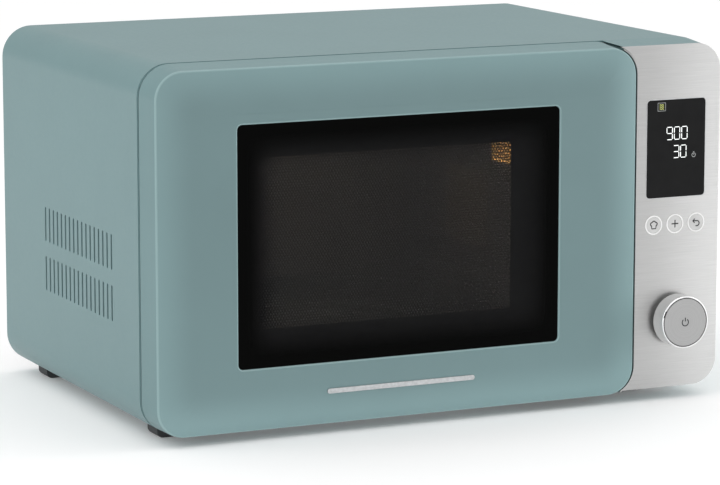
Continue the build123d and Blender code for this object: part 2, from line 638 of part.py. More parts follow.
CAN_X = 412.0
CAN_WIDTH = 52.0
CAN_HEIGHT = 34.0
CAN_REAR = 258.0
CAN_LENGTH = 92.0
TERMINAL_SPREAD = 10.0
TERMINAL_R = 3.0
TERMINAL_LENGTH = 10.0
with BuildPart() as high_voltage_capacitor:
    with BuildSketch(facing(CAN_REAR)):
        with Locations((LEFT + CAN_X, BASE + BAY_FLOOR + CAN_HEIGHT / 2)):
            SlotOverall(CAN_WIDTH, CAN_HEIGHT)
    extrude(amount=CAN_LENGTH)
    for x in (CAN_X - TERMINAL_SPREAD, CAN_X + TERMINAL_SPREAD):
        terminal_end = CAN_REAR - CAN_LENGTH
        rod(x, BAY_FLOOR + CAN_HEIGHT / 2, TERMINAL_R, terminal_end - TERMINAL_LENGTH, terminal_end)
save(high_voltage_capacitor, "high_voltage_capacitor")

FAN_X = 424.0
FAN_Z = 150.0
FAN_R = 44.0
DUCT_FRONT = 272.0
DUCT_REAR = 292.0
DUCT_HALF = 56.0
DUCT_CORNER_R = 4.0
DUCT_PLATE = 3.0
DUCT_R = FAN_R + 6
DUCT_BORE_R = FAN_R + 3
DUCT_SPOKE = 14.0
DUCT_HUB_R = 20.0
MOTOR_FRONT = 295.0
MOTOR_R = 18.0
MOTOR_LENGTH = 16.0
MOTOR_WIDTH = 48.0
MOTOR_HEIGHT = 40.0
FAN_SHAFT_R = 2.0
FAN_BORE_R = 2.05
FAN_SHAFT_FRONT = 278.0
FAN_HUB_R = 13.0
FAN_HUB_FRONT = 275.0
FAN_HUB_REAR = 290.0
BLADE_CHORD = 22.0
BLADE_THICKNESS = 1.4
BLADE_ROOT = 11.0
with BuildPart() as fan_duct:
    with BuildSketch(facing(DUCT_FRONT)):
        panel(
            FAN_X - DUCT_HALF,
            FAN_X + DUCT_HALF,
            FAN_Z - DUCT_HALF,
            FAN_Z + DUCT_HALF,
            radius=DUCT_CORNER_R,
        )
        with Locations((LEFT + FAN_X, BASE + FAN_Z)):
            Circle(DUCT_BORE_R, mode=Mode.SUBTRACT)
    extrude(amount=DUCT_PLATE)
    rod(FAN_X, FAN_Z, DUCT_R, DUCT_FRONT, DUCT_REAR)
    rod(FAN_X, FAN_Z, DUCT_BORE_R, DUCT_FRONT - 4, DUCT_REAR + 1, mode=Mode.SUBTRACT)
    with BuildSketch(facing(MOTOR_FRONT)):
        with Locations((LEFT + FAN_X, BASE + FAN_Z)):
            Rectangle(2 * FAN_R + 10, DUCT_SPOKE)
            Rectangle(DUCT_SPOKE, 2 * FAN_R + 10)
            Circle(DUCT_HUB_R)
            Circle(DUCT_R)
            Circle(DUCT_BORE_R, mode=Mode.SUBTRACT)
            Rectangle(2 * FAN_R + 8, 14)
            Rectangle(14, 2 * FAN_R + 8)
            Circle(20)
            Circle(4, mode=Mode.SUBTRACT)
    extrude(amount=3)
save(fan_duct, "fan_duct")

with BuildPart() as fan_motor:
    rod(FAN_X, FAN_Z, MOTOR_R, MOTOR_FRONT, MOTOR_FRONT + MOTOR_LENGTH)
    block(
        FAN_X - MOTOR_WIDTH / 2,
        FAN_X + MOTOR_WIDTH / 2,
        MOTOR_FRONT + 3,
        MOTOR_FRONT + MOTOR_LENGTH - 3,
        FAN_Z - MOTOR_HEIGHT / 2,
        FAN_Z + MOTOR_HEIGHT / 2,
    )
    rod(FAN_X, FAN_Z, FAN_BORE_R, MOTOR_FRONT - 5, MOTOR_FRONT + 11, mode=Mode.SUBTRACT)
save(fan_motor, "fan_motor")

with BuildPart() as fan_shaft:
    rod(FAN_X, FAN_Z, FAN_SHAFT_R, FAN_SHAFT_FRONT, MOTOR_FRONT + 10)
save(fan_shaft, "fan_shaft")

BLADE_COUNT = 5
BLADE_PITCH = 32.0
with BuildPart() as fan_blade:
    rod(FAN_X, FAN_Z, FAN_HUB_R, FAN_HUB_FRONT, FAN_HUB_REAR)
    rod(FAN_X, FAN_Z, FAN_SHAFT_R, FAN_SHAFT_FRONT, FAN_HUB_REAR + 2, mode=Mode.SUBTRACT)
    for turn in range(BLADE_COUNT):
        angle = radians(turn * 360 / BLADE_COUNT)
        outward = Vector(cos(angle), 0, sin(angle))
        chord = Vector(-sin(angle), 0, cos(angle)) * cos(radians(BLADE_PITCH)) + Vector(
            0, sin(radians(BLADE_PITCH)), 0
        )
        hub_centre = Vector(LEFT + FAN_X, CREASE_Y + (FAN_HUB_FRONT + FAN_HUB_REAR) / 2, BASE + FAN_Z)
        with BuildSketch(Plane(origin=hub_centre + outward * BLADE_ROOT, x_dir=chord, z_dir=outward)):
            Rectangle(BLADE_CHORD, BLADE_THICKNESS)
        extrude(amount=FAN_R - BLADE_ROOT - 0.5)
save(fan_blade, "fan_blade")

with BuildPart() as cavity_lamp:
    block(374, 388, LAMP_CENTRE[0] - 11, LAMP_CENTRE[0] + 11, LAMP_CENTRE[1] - 10, LAMP_CENTRE[1] + 10)
    with BuildSketch(Plane.YZ.offset(LEFT + CAVITY_RIGHT + 3)):
        with Locations((CREASE_Y + LAMP_CENTRE[0], BASE + LAMP_CENTRE[1])):
            Circle(7)
    extrude(amount=11)
    bulb_end = cavity_lamp.faces().sort_by(Axis.X)[0].edges()
    fillet(bulb_end, 5)
save(cavity_lamp, "cavity_lamp")

with BuildPart() as thermal_cutout:
    post(280, 130, 8, CAVITY_HIGH + CAVITY_WALL, CAVITY_HIGH + CAVITY_WALL + 6)
    block(270, 290, 127, 133, CAVITY_HIGH + CAVITY_WALL, CAVITY_HIGH + CAVITY_WALL + 1)
    for x in (275, 285):
        block(x - 1.5, x + 1.5, 129.5, 130.5, CAVITY_HIGH + 6, CAVITY_HIGH + 14)
save(thermal_cutout, "thermal_cutout")

FILTER_FACE = 382.0
CHOKE_COIL = 20.0
FILTER_CAN = 14.0
CAPACITOR_R = 6.0
CAPACITOR_HEIGHT = 22.0
with BuildPart() as mains_filter_board:
    block(FILTER_FACE - 2, FILTER_FACE, 214, 262, 218, 272)
    block(FILTER_FACE, FILTER_FACE + CHOKE_COIL, 222, 244, 226, 246)
    block(FILTER_FACE, FILTER_FACE + FILTER_CAN, 222, 254, 252, 266)
    with BuildSketch(Plane.YZ.offset(LEFT + FILTER_FACE)):
        with Locations((CREASE_Y + 253, BASE + 232)):
            Circle(CAPACITOR_R)
    extrude(amount=CAPACITOR_HEIGHT)
save(mains_filter_board, "mains_filter_board")

BRACKET_LEFT = 376.0
BRACKET_RIGHT = 408.0
BRACKET_LOW = 44.0
BRACKET_HIGH = 242.0
BRACKET_REACH = 26.0
BRACKET_WALL = 4.0
with BuildPart() as latch_bracket:
    block(BRACKET_LEFT, BRACKET_RIGHT, FRAME_REAR, FRAME_REAR + BRACKET_REACH, BRACKET_LOW, BRACKET_HIGH)
    for z in LATCH_HEIGHTS:
        block(
            LATCH_X - LATCH_SLOT_WIDTH / 2,
            LATCH_X + LATCH_SLOT_WIDTH / 2,
            FRAME_REAR - 1,
            FRAME_REAR + 20,
            z - LATCH_SLOT_HEIGHT / 2,
            z + LATCH_SLOT_HEIGHT / 2,
            mode=Mode.SUBTRACT,
        )
    block(
        BRACKET_LEFT + BRACKET_WALL,
        BRACKET_RIGHT - BRACKET_WALL,
        FRAME_REAR + 3,
        FRAME_REAR + BRACKET_REACH + 1,
        90,
        196,
        mode=Mode.SUBTRACT,
    )
save(latch_bracket, "latch_bracket")

SWITCH_ROWS = (104.0, 143.0, 182.0)
with BuildPart() as door_microswitches:
    for z in SWITCH_ROWS:
        block(386, 396, FRAME_REAR + 6, FRAME_REAR + 22, z - 14, z + 14)
        block(389, 393, FRAME_REAR + 22, FRAME_REAR + 28, z - 9, z - 6)
        block(389, 393, FRAME_REAR + 22, FRAME_REAR + 28, z + 6, z + 9)
save(door_microswitches, "door_microswitches")

# ---------------------------------------------------------------- turntable
TRAY_BOTTOM = CAVITY_LOW + 2 * ROLLING_GAP + 2 * WHEEL_R
WHEEL_Z = CAVITY_LOW + ROLLING_GAP + WHEEL_R
with BuildPart() as turntable_motor:
    post(TABLE_X, TABLE_DEPTH, 25, CAVITY_LOW - CAVITY_WALL - 16, CAVITY_LOW - CAVITY_WALL)
    block(
        TABLE_X - 33,
        TABLE_X + 33,
        TABLE_DEPTH - 6,
        TABLE_DEPTH + 6,
        CAVITY_LOW - 2.8,
        CAVITY_LOW - CAVITY_WALL,
    )
    block(TABLE_X + 20, TABLE_X + 31, TABLE_DEPTH - 8, TABLE_DEPTH + 8, CAVITY_LOW - 16, CAVITY_LOW - 6)
    post(TABLE_X, TABLE_DEPTH, 3.55, CAVITY_LOW - 10, CAVITY_LOW, mode=Mode.SUBTRACT)
save(turntable_motor, "turntable_motor")

with BuildPart() as turntable_coupler:
    post(TABLE_X, TABLE_DEPTH, 3.5, CAVITY_LOW - 9, CAVITY_LOW + 3)
    post(TABLE_X, TABLE_DEPTH, 7.0, CAVITY_LOW + 2, TRAY_BOTTOM - 5)
    with BuildSketch(level(TRAY_BOTTOM - 5)):
        with Locations((LEFT + TABLE_X, CREASE_Y + TABLE_DEPTH)):
            Circle(8)
            with PolarLocations(11, 3, 90):
                Circle(6)
    extrude(amount=4.6)
save(turntable_coupler, "turntable_coupler")

with BuildPart() as glass_turntable:
    with BuildSketch(Plane.XZ.offset(-(CREASE_Y + TABLE_DEPTH))):
        with BuildLine():
            centre_x = LEFT + TABLE_X
            floor_z = BASE + TRAY_BOTTOM
            Polyline(
                (centre_x, floor_z),
                (centre_x + 112, floor_z),
                (centre_x + TRAY_R, floor_z + 10),
                (centre_x + TRAY_R, floor_z + 13),
                (centre_x + TRAY_R - 3, floor_z + 13),
                (centre_x + 111, floor_z + 4),
                (centre_x, floor_z + 4),
                close=True,
            )
        make_face()
    revolve(axis=Axis((LEFT + TABLE_X, CREASE_Y + TABLE_DEPTH, 0), (0, 0, 1)))
save(glass_turntable, "glass_turntable")

SPOKES = [Vector(cos(radians(a)), sin(radians(a)), 0) for a in (90, 210, 330)]


def spoke_plane(direction, radius):
    """Plane across one of the roller ring's spokes, at a distance from the turntable's axis."""
    centre = Vector(LEFT + TABLE_X, CREASE_Y + TABLE_DEPTH, BASE + WHEEL_Z)
    return Plane(origin=centre + direction * radius, z_dir=direction)


RING_INNER = 76.0
RING_OUTER = 83.0
AXLE_R = 1.5
WHEEL_HALF = 3.5
with BuildPart() as roller_ring:
    with BuildSketch(level(WHEEL_Z - 2.5)):
        with Locations((LEFT + TABLE_X, CREASE_Y + TABLE_DEPTH)):
            Circle(RING_OUTER)
            Circle(RING_INNER, mode=Mode.SUBTRACT)
    extrude(amount=5)
    for direction in SPOKES:
        with BuildSketch(spoke_plane(direction, RING_OUTER - 3)):
            Circle(AXLE_R)
        extrude(amount=16.5)
        with BuildSketch(spoke_plane(direction, WHEEL_TRACK_R + WHEEL_HALF + 1.1)):
            Circle(2.4)
        extrude(amount=2)
save(roller_ring, "roller_ring")

for number, direction in enumerate(SPOKES, start=1):
    with BuildPart() as roller_wheel:
        with BuildSketch(spoke_plane(direction, WHEEL_TRACK_R - WHEEL_HALF)):
            Circle(WHEEL_R)
            Circle(AXLE_R + 0.08, mode=Mode.SUBTRACT)
        extrude(amount=2 * WHEEL_HALF)
        tread_edges = roller_wheel.edges().filter_by(GeomType.CIRCLE).group_by(SortBy.RADIUS)[-1]
        fillet(tread_edges, 1.2)
    save(roller_wheel, f"roller_wheel_{number}")

# ---------------------------------------------------------------- door
POCKET_X = 3.6
POCKET_HALF = 8.0
GLASS_SEAT = 6.0
with BuildPart() as door_outer_cover:
    with BuildSketch(facing(DOOR_REAR)):
        outline(LEFT, DOOR_RIGHT, BASE, TOP, CORNER_R)
    with BuildSketch(facing(0)):
        outline(LEFT + DOOR_DRAFT, DOOR_RIGHT - 0.4, BASE + 0.2, TOP - DOOR_DRAFT, DOOR_CREASE_R)
    for stand_out, inset, radius in CROWN_STEPS:
        with BuildSketch(facing(-stand_out)):
            outline(
                LEFT + DOOR_DRAFT + inset,
                DOOR_RIGHT - 0.4 - inset,
                BASE + 0.2 + inset,
                TOP - DOOR_DRAFT - inset,
                radius,
            )
    loft(ruled=True)
    rear_rim = door_outer_cover.faces().sort_by(Axis.Y)[-1].edges()
    fillet(rear_rim, DOOR_EDGE_R)
    with BuildSketch(facing(DOOR_REAR + 1)):
        outline(
            LEFT + DOOR_DRAFT + DOOR_WALL,
            DOOR_RIGHT - 0.4 - DOOR_WALL,
            BASE + 0.2 + DOOR_WALL,
            TOP - DOOR_DRAFT - DOOR_WALL,
            DOOR_CREASE_R - DOOR_WALL,
        )
    extrude(amount=DOOR_REAR + 1 - FACE_BACK, mode=Mode.SUBTRACT)
    # window opening, with a deeper seat behind it for the glass's flange
    with BuildSketch(facing(FACE_BACK + 1)):
        panel(WINDOW_LEFT, WINDOW_RIGHT, WINDOW_LOW, WINDOW_HIGH, radius=WINDOW_R)
    extrude(amount=10, mode=Mode.SUBTRACT)
    with BuildSketch(facing(FACE_BACK + 1)):
        panel(
            WINDOW_LEFT - GLASS_SEAT,
            WINDOW_RIGHT + GLASS_SEAT,
            WINDOW_LOW - GLASS_SEAT,
            WINDOW_HIGH + GLASS_SEAT,
            radius=WINDOW_R + GLASS_SEAT,
        )
    extrude(amount=FACE_BACK + 1 + 1.0, mode=Mode.SUBTRACT)
    # pockets that clear the hinge arms
    for z in HINGE_HEIGHTS:
        block(POCKET_X, 12, FACE_BACK, DOOR_REAR + 1, z - POCKET_HALF, z + POCKET_HALF, mode=Mode.SUBTRACT)
    # finger recess under the free end, with its own walls inside the cover
    block(316, 386, 6, 24, 1, 14)
    block(318, 384, 7.5, 22.5, -1, 12.5, mode=Mode.SUBTRACT)
save(door_outer_cover, "door_outer_cover")

with BuildPart() as door_window_glass:
    with BuildSketch(facing(-1.0)):
        panel(
            WINDOW_LEFT + 0.2,
            WINDOW_RIGHT - 0.2,
            WINDOW_LOW + 0.2,
            WINDOW_HIGH - 0.2,
            radius=WINDOW_R - 0.2,
        )
    extrude(amount=-1.0 - GLASS_FRONT)
    with BuildSketch(facing(FACE_BACK)):
        panel(
            WINDOW_LEFT - GLASS_SEAT + 0.3,
            WINDOW_RIGHT + GLASS_SEAT - 0.3,
            WINDOW_LOW - GLASS_SEAT + 0.3,
            WINDOW_HIGH + GLASS_SEAT - 0.3,
            radius=WINDOW_R + GLASS_SEAT,
        )
    extrude(amount=FACE_BACK + 1.0)
save(door_window_glass, "door_window_glass")

# plain satin bar that is set into the face under the window
BAR_LEFT = 141.0
BAR_RIGHT = 267.0
BAR_Z = 26.5
with BuildPart() as door_trim_bar:
    with BuildSketch(facing(-CROWN)):
        panel(BAR_LEFT, BAR_RIGHT, BAR_Z - 2, BAR_Z + 2, radius=1.9)
    extrude(amount=0.5)
save(door_trim_bar, "door_trim_bar")

CHOKE_LEFT = 46.0
CHOKE_RIGHT = 374.0
CHOKE_LOW = 20.0
CHOKE_HIGH = 260.0
CHOKE_FRONT = 8.0
CHOKE_REAR = 26.0
CHANNEL = 15.0
SCREEN_DEPTH = 24.0
SCREEN_MARGIN = 24.0
with BuildPart() as door_choke_frame:
    with BuildSketch(facing(CHOKE_REAR)):
        panel(CHOKE_LEFT, CHOKE_RIGHT, CHOKE_LOW, CHOKE_HIGH)
        panel(
            CHOKE_LEFT + SCREEN_MARGIN,
            CHOKE_RIGHT - SCREEN_MARGIN,
            CHOKE_LOW + SCREEN_MARGIN,
            CHOKE_HIGH - SCREEN_MARGIN,
            mode=Mode.SUBTRACT,
        )
    sheet(CHOKE_FRONT, CHOKE_REAR)
    # choke channel, open to the rear, and the hollow in front of the screen
    with BuildSketch(facing(CHOKE_REAR)):
        panel(CHOKE_LEFT + 1, CHOKE_RIGHT - 1, CHOKE_LOW + 1, CHOKE_HIGH - 1)
        panel(
            CHOKE_LEFT + CHANNEL,
            CHOKE_RIGHT - CHANNEL,
            CHOKE_LOW + CHANNEL,
            CHOKE_HIGH - CHANNEL,
            mode=Mode.SUBTRACT,
        )
    extrude(amount=CHOKE_REAR - CHOKE_FRONT - 1, mode=Mode.SUBTRACT)
    with BuildSketch(facing(SCREEN_DEPTH)):
        panel(
            CHOKE_LEFT + CHANNEL + 1,
            CHOKE_RIGHT - CHANNEL - 1,
            CHOKE_LOW + CHANNEL + 1,
            CHOKE_HIGH - CHANNEL - 1,
        )
    extrude(amount=SCREEN_DEPTH, mode=Mode.SUBTRACT)
save(door_choke_frame, "door_choke_frame")

with BuildPart() as perforated_screen:
    with BuildSketch(facing(SCREEN_DEPTH)):
        panel(CHOKE_LEFT + 20, CHOKE_RIGHT - 20, CHOKE_LOW + 20, CHOKE_HIGH - 20)
    extrude(amount=0.6)
save(perforated_screen, "perforated_screen")

with BuildPart() as door_inner_pane:
    with BuildSketch(facing(CHOKE_REAR + 0.8)):
        panel(
            CHOKE_LEFT + CHANNEL + 2,
            CHOKE_RIGHT - CHANNEL - 2,
            CHOKE_LOW + CHANNEL + 2,
            CHOKE_HIGH - CHANNEL - 2,
        )
    extrude(amount=0.8)
save(door_inner_pane, "door_inner_pane")

with BuildPart() as door_choke_cover:
    with BuildSketch(facing(DOOR_REAR)):
        panel(CHOKE_LEFT + 0.2, CHOKE_RIGHT - 0.2, CHOKE_LOW + 0.2, CHOKE_HIGH - 0.2, radius=3)
        panel(
            CHOKE_LEFT + CHANNEL + 0.5,
            CHOKE_RIGHT - CHANNEL - 0.5,
            CHOKE_LOW + CHANNEL + 0.5,
            CHOKE_HIGH - CHANNEL - 0.5,
            mode=Mode.SUBTRACT,
        )
    extrude(amount=DOOR_REAR - CHOKE_REAR)
save(door_choke_cover, "door_choke_cover")

RIM_LEFT = DOOR_DRAFT + DOOR_WALL + 0.3
RIM_RIGHT = DOOR_WIDTH - 0.4 - DOOR_WALL - 0.3
RIM_LOW = 0.2 + DOOR_WALL + 0.3
RIM_HIGH = CASING_HEIGHT - DOOR_DRAFT - DOOR_WALL - 0.3
DOOR_SCREWS = (
    (20.0, 150.0),
    (402.0, 150.0),
    (120.0, 268.0),
    (300.0, 268.0),
    (120.0, 12.0),
    (300.0, 12.0),
)
with BuildPart() as door_rear_frame:
    with BuildSketch(facing(DOOR_REAR - 0.8)):
        panel(RIM_LEFT, RIM_RIGHT, RIM_LOW, RIM_HIGH, radius=DOOR_CREASE_R - DOOR_WALL)
        panel(CHOKE_LEFT - 0.2, CHOKE_RIGHT + 0.2, CHOKE_LOW - 0.2, CHOKE_HIGH + 0.2, mode=Mode.SUBTRACT)
        for z in HINGE_HEIGHTS:
            panel(0, 41.5, z - 3.5, z + 3.5, mode=Mode.SUBTRACT)
        for z in LATCH_HEIGHTS:
            panel(LATCH_X - 4, LATCH_X + 4, z - 12, z + 12, mode=Mode.SUBTRACT)
        for x, z in DOOR_SCREWS:
            with Locations((LEFT + x, BASE + z)):
                Circle(1.6, mode=Mode.SUBTRACT)
    extrude(amount=2.2)
save(door_rear_frame, "door_rear_frame")

with BuildPart() as door_screws:
    for x, z in DOOR_SCREWS:
        rod(x, z, 1.6, 16, DOOR_REAR - 0.8)
        rod(x, z, 3.0, DOOR_REAR - 0.8, DOOR_REAR)
save(door_screws, "door_screws")

EAR_FRONT = 2.6
EAR_REAR = 11.5
with BuildPart() as door_hinge_brackets:
    for z in HINGE_HEIGHTS:
        for z0, z1 in ((z - 6, z - 2.5), (z + 2.5, z + 6)):
            block(4.6, CHOKE_LEFT, EAR_FRONT, EAR_REAR, z0, z1)
        block(41, CHOKE_LEFT, EAR_FRONT, EAR_REAR, z - 6, z + 6)
        post(HINGE_X, HINGE_DEPTH, HINGE_PIN_R, z - 7, z + 7)
save(door_hinge_brackets, "door_hinge_brackets")

LATCH_HALF = 2.0
SLIDER_FRONT = 10.0
SLIDER_REAR = 21.0
HOOK_REAR = 43.0
SPRING_LOW = 144.0
SPRING_HIGH = 168.0
with BuildPart() as latch_slider:
    block(LATCH_X - LATCH_HALF, LATCH_X + LATCH_HALF, SLIDER_FRONT, SLIDER_REAR, 48, 236)
    for z in LATCH_HEIGHTS:
        block(LATCH_X - LATCH_HALF, LATCH_X + LATCH_HALF, SLIDER_REAR - 1, HOOK_REAR, z - 4, z + 4)
        block(LATCH_X - LATCH_HALF, LATCH_X + LATCH_HALF, HOOK_REAR - 5, HOOK_REAR, z - 8, z)
    block(LATCH_X - 6, LATCH_X + LATCH_HALF, 12, 19, SPRING_HIGH, SPRING_HIGH + 4)
save(latch_slider, "latch_slider")

SPRING_X = 384.0
SPRING_DEPTH = 15.5
SPRING_R = 2.6
SPRING_WIRE_R = 0.35
with BuildPart() as latch_spring:
    with BuildLine() as coil:
        Helix(
            pitch=2.4,
            height=SPRING_HIGH - SPRING_LOW - 2 * SPRING_WIRE_R,
            radius=SPRING_R,
            center=(LEFT + SPRING_X, CREASE_Y + SPRING_DEPTH, BASE + SPRING_LOW + SPRING_WIRE_R),
        )
    with BuildSketch(Plane(origin=coil.line @ 0, z_dir=coil.line % 0)):
        Circle(SPRING_WIRE_R)
    sweep(is_frenet=True)
save(latch_spring, "latch_spring")

RAIL_LEFT = 376.0
RAIL_WALL = 380.0
RAIL_INNER = LATCH_X - LATCH_HALF - 0.4
RAIL_RIGHT = LATCH_X + LATCH_HALF + 3
RAIL_FRONT = 9.0
RAIL_REAR = 22.0
RAIL_LOW = 136.0
RAIL_HIGH = 200.0
with BuildPart() as latch_guide:
    block(RAIL_WALL, RAIL_INNER, RAIL_FRONT, RAIL_REAR, RAIL_LOW, SPRING_LOW)
    block(RAIL_LEFT, RAIL_WALL, RAIL_FRONT, RAIL_REAR, RAIL_LOW, RAIL_HIGH)
    block(RAIL_WALL, RAIL_INNER, RAIL_FRONT, RAIL_REAR, RAIL_HIGH - 8, RAIL_HIGH)
    block(LATCH_X + LATCH_HALF + 0.4, RAIL_RIGHT, RAIL_FRONT, RAIL_REAR, RAIL_LOW, RAIL_HIGH)
    block(RAIL_LEFT, RAIL_RIGHT, FACE_BACK, RAIL_FRONT, RAIL_LOW, RAIL_HIGH)
save(latch_guide, "latch_guide")
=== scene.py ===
import json
import math

import bmesh
import bpy
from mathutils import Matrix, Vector

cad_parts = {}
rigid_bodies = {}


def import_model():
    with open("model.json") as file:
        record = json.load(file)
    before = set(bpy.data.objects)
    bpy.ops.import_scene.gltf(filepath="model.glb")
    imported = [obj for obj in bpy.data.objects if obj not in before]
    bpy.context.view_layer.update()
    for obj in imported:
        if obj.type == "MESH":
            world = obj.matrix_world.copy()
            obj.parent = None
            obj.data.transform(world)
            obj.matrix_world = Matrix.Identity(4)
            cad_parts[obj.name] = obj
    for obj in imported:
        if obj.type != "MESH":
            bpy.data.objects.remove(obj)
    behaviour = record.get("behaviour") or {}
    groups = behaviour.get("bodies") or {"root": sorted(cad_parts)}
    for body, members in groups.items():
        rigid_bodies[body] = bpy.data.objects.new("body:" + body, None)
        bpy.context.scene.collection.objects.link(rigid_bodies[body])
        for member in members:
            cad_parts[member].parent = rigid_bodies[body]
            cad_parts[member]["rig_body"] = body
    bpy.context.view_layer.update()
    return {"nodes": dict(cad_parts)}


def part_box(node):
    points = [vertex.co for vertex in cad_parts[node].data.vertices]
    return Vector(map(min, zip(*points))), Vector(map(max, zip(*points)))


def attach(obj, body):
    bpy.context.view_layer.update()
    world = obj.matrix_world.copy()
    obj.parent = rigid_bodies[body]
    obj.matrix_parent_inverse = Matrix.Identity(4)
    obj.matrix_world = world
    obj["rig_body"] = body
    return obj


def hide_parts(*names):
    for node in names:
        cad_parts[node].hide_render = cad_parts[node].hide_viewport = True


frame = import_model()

# ------------ reference positions
# Millimetre places are written as the CAD writes them: x from the casing's left side, d (depth)
# rearwards from the door's crease plane, z from the casing's bottom.
MM = 0.001
CROWN = 4.0
casing_low, casing_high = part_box("outer_casing")
door_low, door_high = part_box("door_outer_cover")
knob_low, knob_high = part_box("knob_body")
glass_low, glass_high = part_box("door_window_glass")
screen_low, screen_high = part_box("perforated_screen")
display_low, display_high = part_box("display_glass")

LEFT = casing_low.x
BASE = casing_low.z
CREASE_Y = door_low.y + CROWN * MM
WIDTH = (casing_high.x - casing_low.x) / MM
HEIGHT = (casing_high.z - casing_low.z) / MM
DOOR_RIM = 0.04          # the rounded rim keeps its box this much inside the nominal side
DOOR_WIDTH = (door_high.x - casing_low.x) / MM + DOOR_RIM
DOOR_REAR = (door_high.y - CREASE_Y) / MM


def at(x, d, z):
    """Point in metres from millimetres off the left side, the crease plane and the bottom."""
    return Vector((LEFT + x * MM, CREASE_Y + d * MM, BASE + z * MM))


def from_left(world_x):
    return (world_x - LEFT) / MM


def depth_of(world_y):
    return (world_y - CREASE_Y) / MM


def height_of(world_z):
    return (world_z - BASE) / MM


def span(low, high):
    """A box's left, right, front, back, bottom and top, in millimetres."""
    return (from_left(low.x), from_left(high.x), depth_of(low.y), depth_of(high.y),
            height_of(low.z), height_of(high.z))


KNOB_X = from_left((knob_low.x + knob_high.x) / 2)
KNOB_Z = height_of((knob_low.z + knob_high.z) / 2)
KNOB_R = (knob_high.x - knob_low.x) / 2 / MM
KNOB_FRONT = depth_of(knob_low.y)


# ------------ material building
def material(name, **constants):
    """A Principled material; constants are set on the shader's own sockets."""
    mat = bpy.data.materials.new(name)
    mat.use_nodes = True
    shader = mat.node_tree.nodes["Principled BSDF"]
    for key, value in constants.items():
        shader.inputs[key.replace("_", " ")].default_value = value
    return mat


def node(mat, kind, **inputs):
    made = mat.node_tree.nodes.new("ShaderNode" + kind)
    for key, value in inputs.items():
        made.inputs[key.replace("_", " ")].default_value = value
    return made


def link(mat, source, target):
    mat.node_tree.links.new(source, target)


def place(mat, scale=(1, 1, 1), offset=(0, 0, 0)):
    """Object coordinates, in metres, scaled and moved."""
    coordinates = node(mat, "TexCoord")
    mapping = node(mat, "Mapping", Scale=scale, Location=offset)
    link(mat, coordinates.outputs["Object"], mapping.inputs["Vector"])
    return mapping.outputs["Vector"]


def noise(mat, vector, scale, detail=3.0, roughness=0.5):
    texture = node(mat, "TexNoise", Scale=scale, Detail=detail, Roughness=roughness)
    link(mat, vector, texture.inputs["Vector"])
    return texture.outputs["Fac"]


def cells(mat, vector, scale, feature="F1", output="Distance"):
    texture = node(mat, "TexVoronoi", Scale=scale)
    texture.feature = feature
    link(mat, vector, texture.inputs["Vector"])
    return texture.outputs[output]


def ramp(mat, factor, stops):
    """Colour ramp; stops are (place, value) with a grey or an (r, g, b) value."""
    made = node(mat, "ValToRGB")
    points = made.color_ramp.elements
    while len(points) < len(stops):
        points.new(0.5)
    for point, (position, value) in zip(points, stops):
        point.position = position
        grey = isinstance(value, (int, float))
        point.color = (value, value, value, 1) if grey else (*value, 1)
    link(mat, factor, made.inputs["Fac"])
    return made.outputs["Color"]


def blend_colours(mat, factor, first, second, mode="MIX"):
    """Mixes two colours; each is an output or an (r, g, b) value."""
    made = node(mat, "Mix")
    made.data_type = "RGBA"
    made.blend_type = mode
    if isinstance(factor, (int, float)):
        made.inputs[0].default_value = factor
    else:
        link(mat, factor, made.inputs[0])
    for index, value in ((6, first), (7, second)):
        if isinstance(value, tuple):
            made.inputs[index].default_value = (*value, 1)
        else:
            link(mat, value, made.inputs[index])
    return made.outputs[2]


def multiply(mat, first, second):
    return blend_colours(mat, 1.0, first, second, mode="MULTIPLY")


def drive(mat, socket, output):
    link(mat, output, mat.node_tree.nodes["Principled BSDF"].inputs[socket])


def tint(mat, output):
    drive(mat, "Base Color", output)


def roughen(mat, factor, low, high):
    """Roughness between two values, following a pattern."""
    remap = node(mat, "MapRange", To_Min=low, To_Max=high)
    link(mat, factor, remap.inputs["Value"])
    drive(mat, "Roughness", remap.outputs["Result"])


def emboss(mat, height, strength, distance):
    made = node(mat, "Bump", Strength=strength, Distance=distance)
    link(mat, height, made.inputs["Height"])
    drive(mat, "Normal", made.outputs["Normal"])


def across(mat, axis, start, end):
    """0 to 1 between two places along one axis, in metres."""
    split = node(mat, "SeparateXYZ")
    link(mat, place(mat), split.inputs["Vector"])
    ramped = node(mat, "MapRange", From_Min=start, From_Max=end)
    ramped.interpolation_type = "SMOOTHSTEP"
    link(mat, split.outputs[axis], ramped.inputs["Value"])
    return ramped.outputs["Result"]


def maths(mat, operation, *values):
    """A Math node in a material or a world; each value is a number or an output."""
    made = node(mat, "Math")
    made.operation = operation
    for socket, value in zip(made.inputs, values):
        if isinstance(value, float):
            socket.default_value = value
        else:
            link(mat, value, socket)
    return made.outputs["Value"]


def edge_distance(mat, low, high, softness):
    """0 at the edge of an upright box seen from the front, rising to 1 at softness inside it."""
    sides = [across(mat, "X", low.x, low.x + softness), across(mat, "X", high.x, high.x - softness),
             across(mat, "Z", low.z, low.z + softness), across(mat, "Z", high.z, high.z - softness)]
    product = sides[0]
    for side in sides[1:]:
        product = maths(mat, "MULTIPLY", product, side)
    return product


def mottle(mat, factor, colour, down, up):
    """Colours a material between a darker and a lighter shade, following a pattern."""
    darker = tuple(c * down for c in colour)
    lighter = tuple(min(1.0, c * up) for c in colour)
    shade = ramp(mat, factor, ((0.3, darker), (0.7, lighter)))
    tint(mat, shade)
    return shade


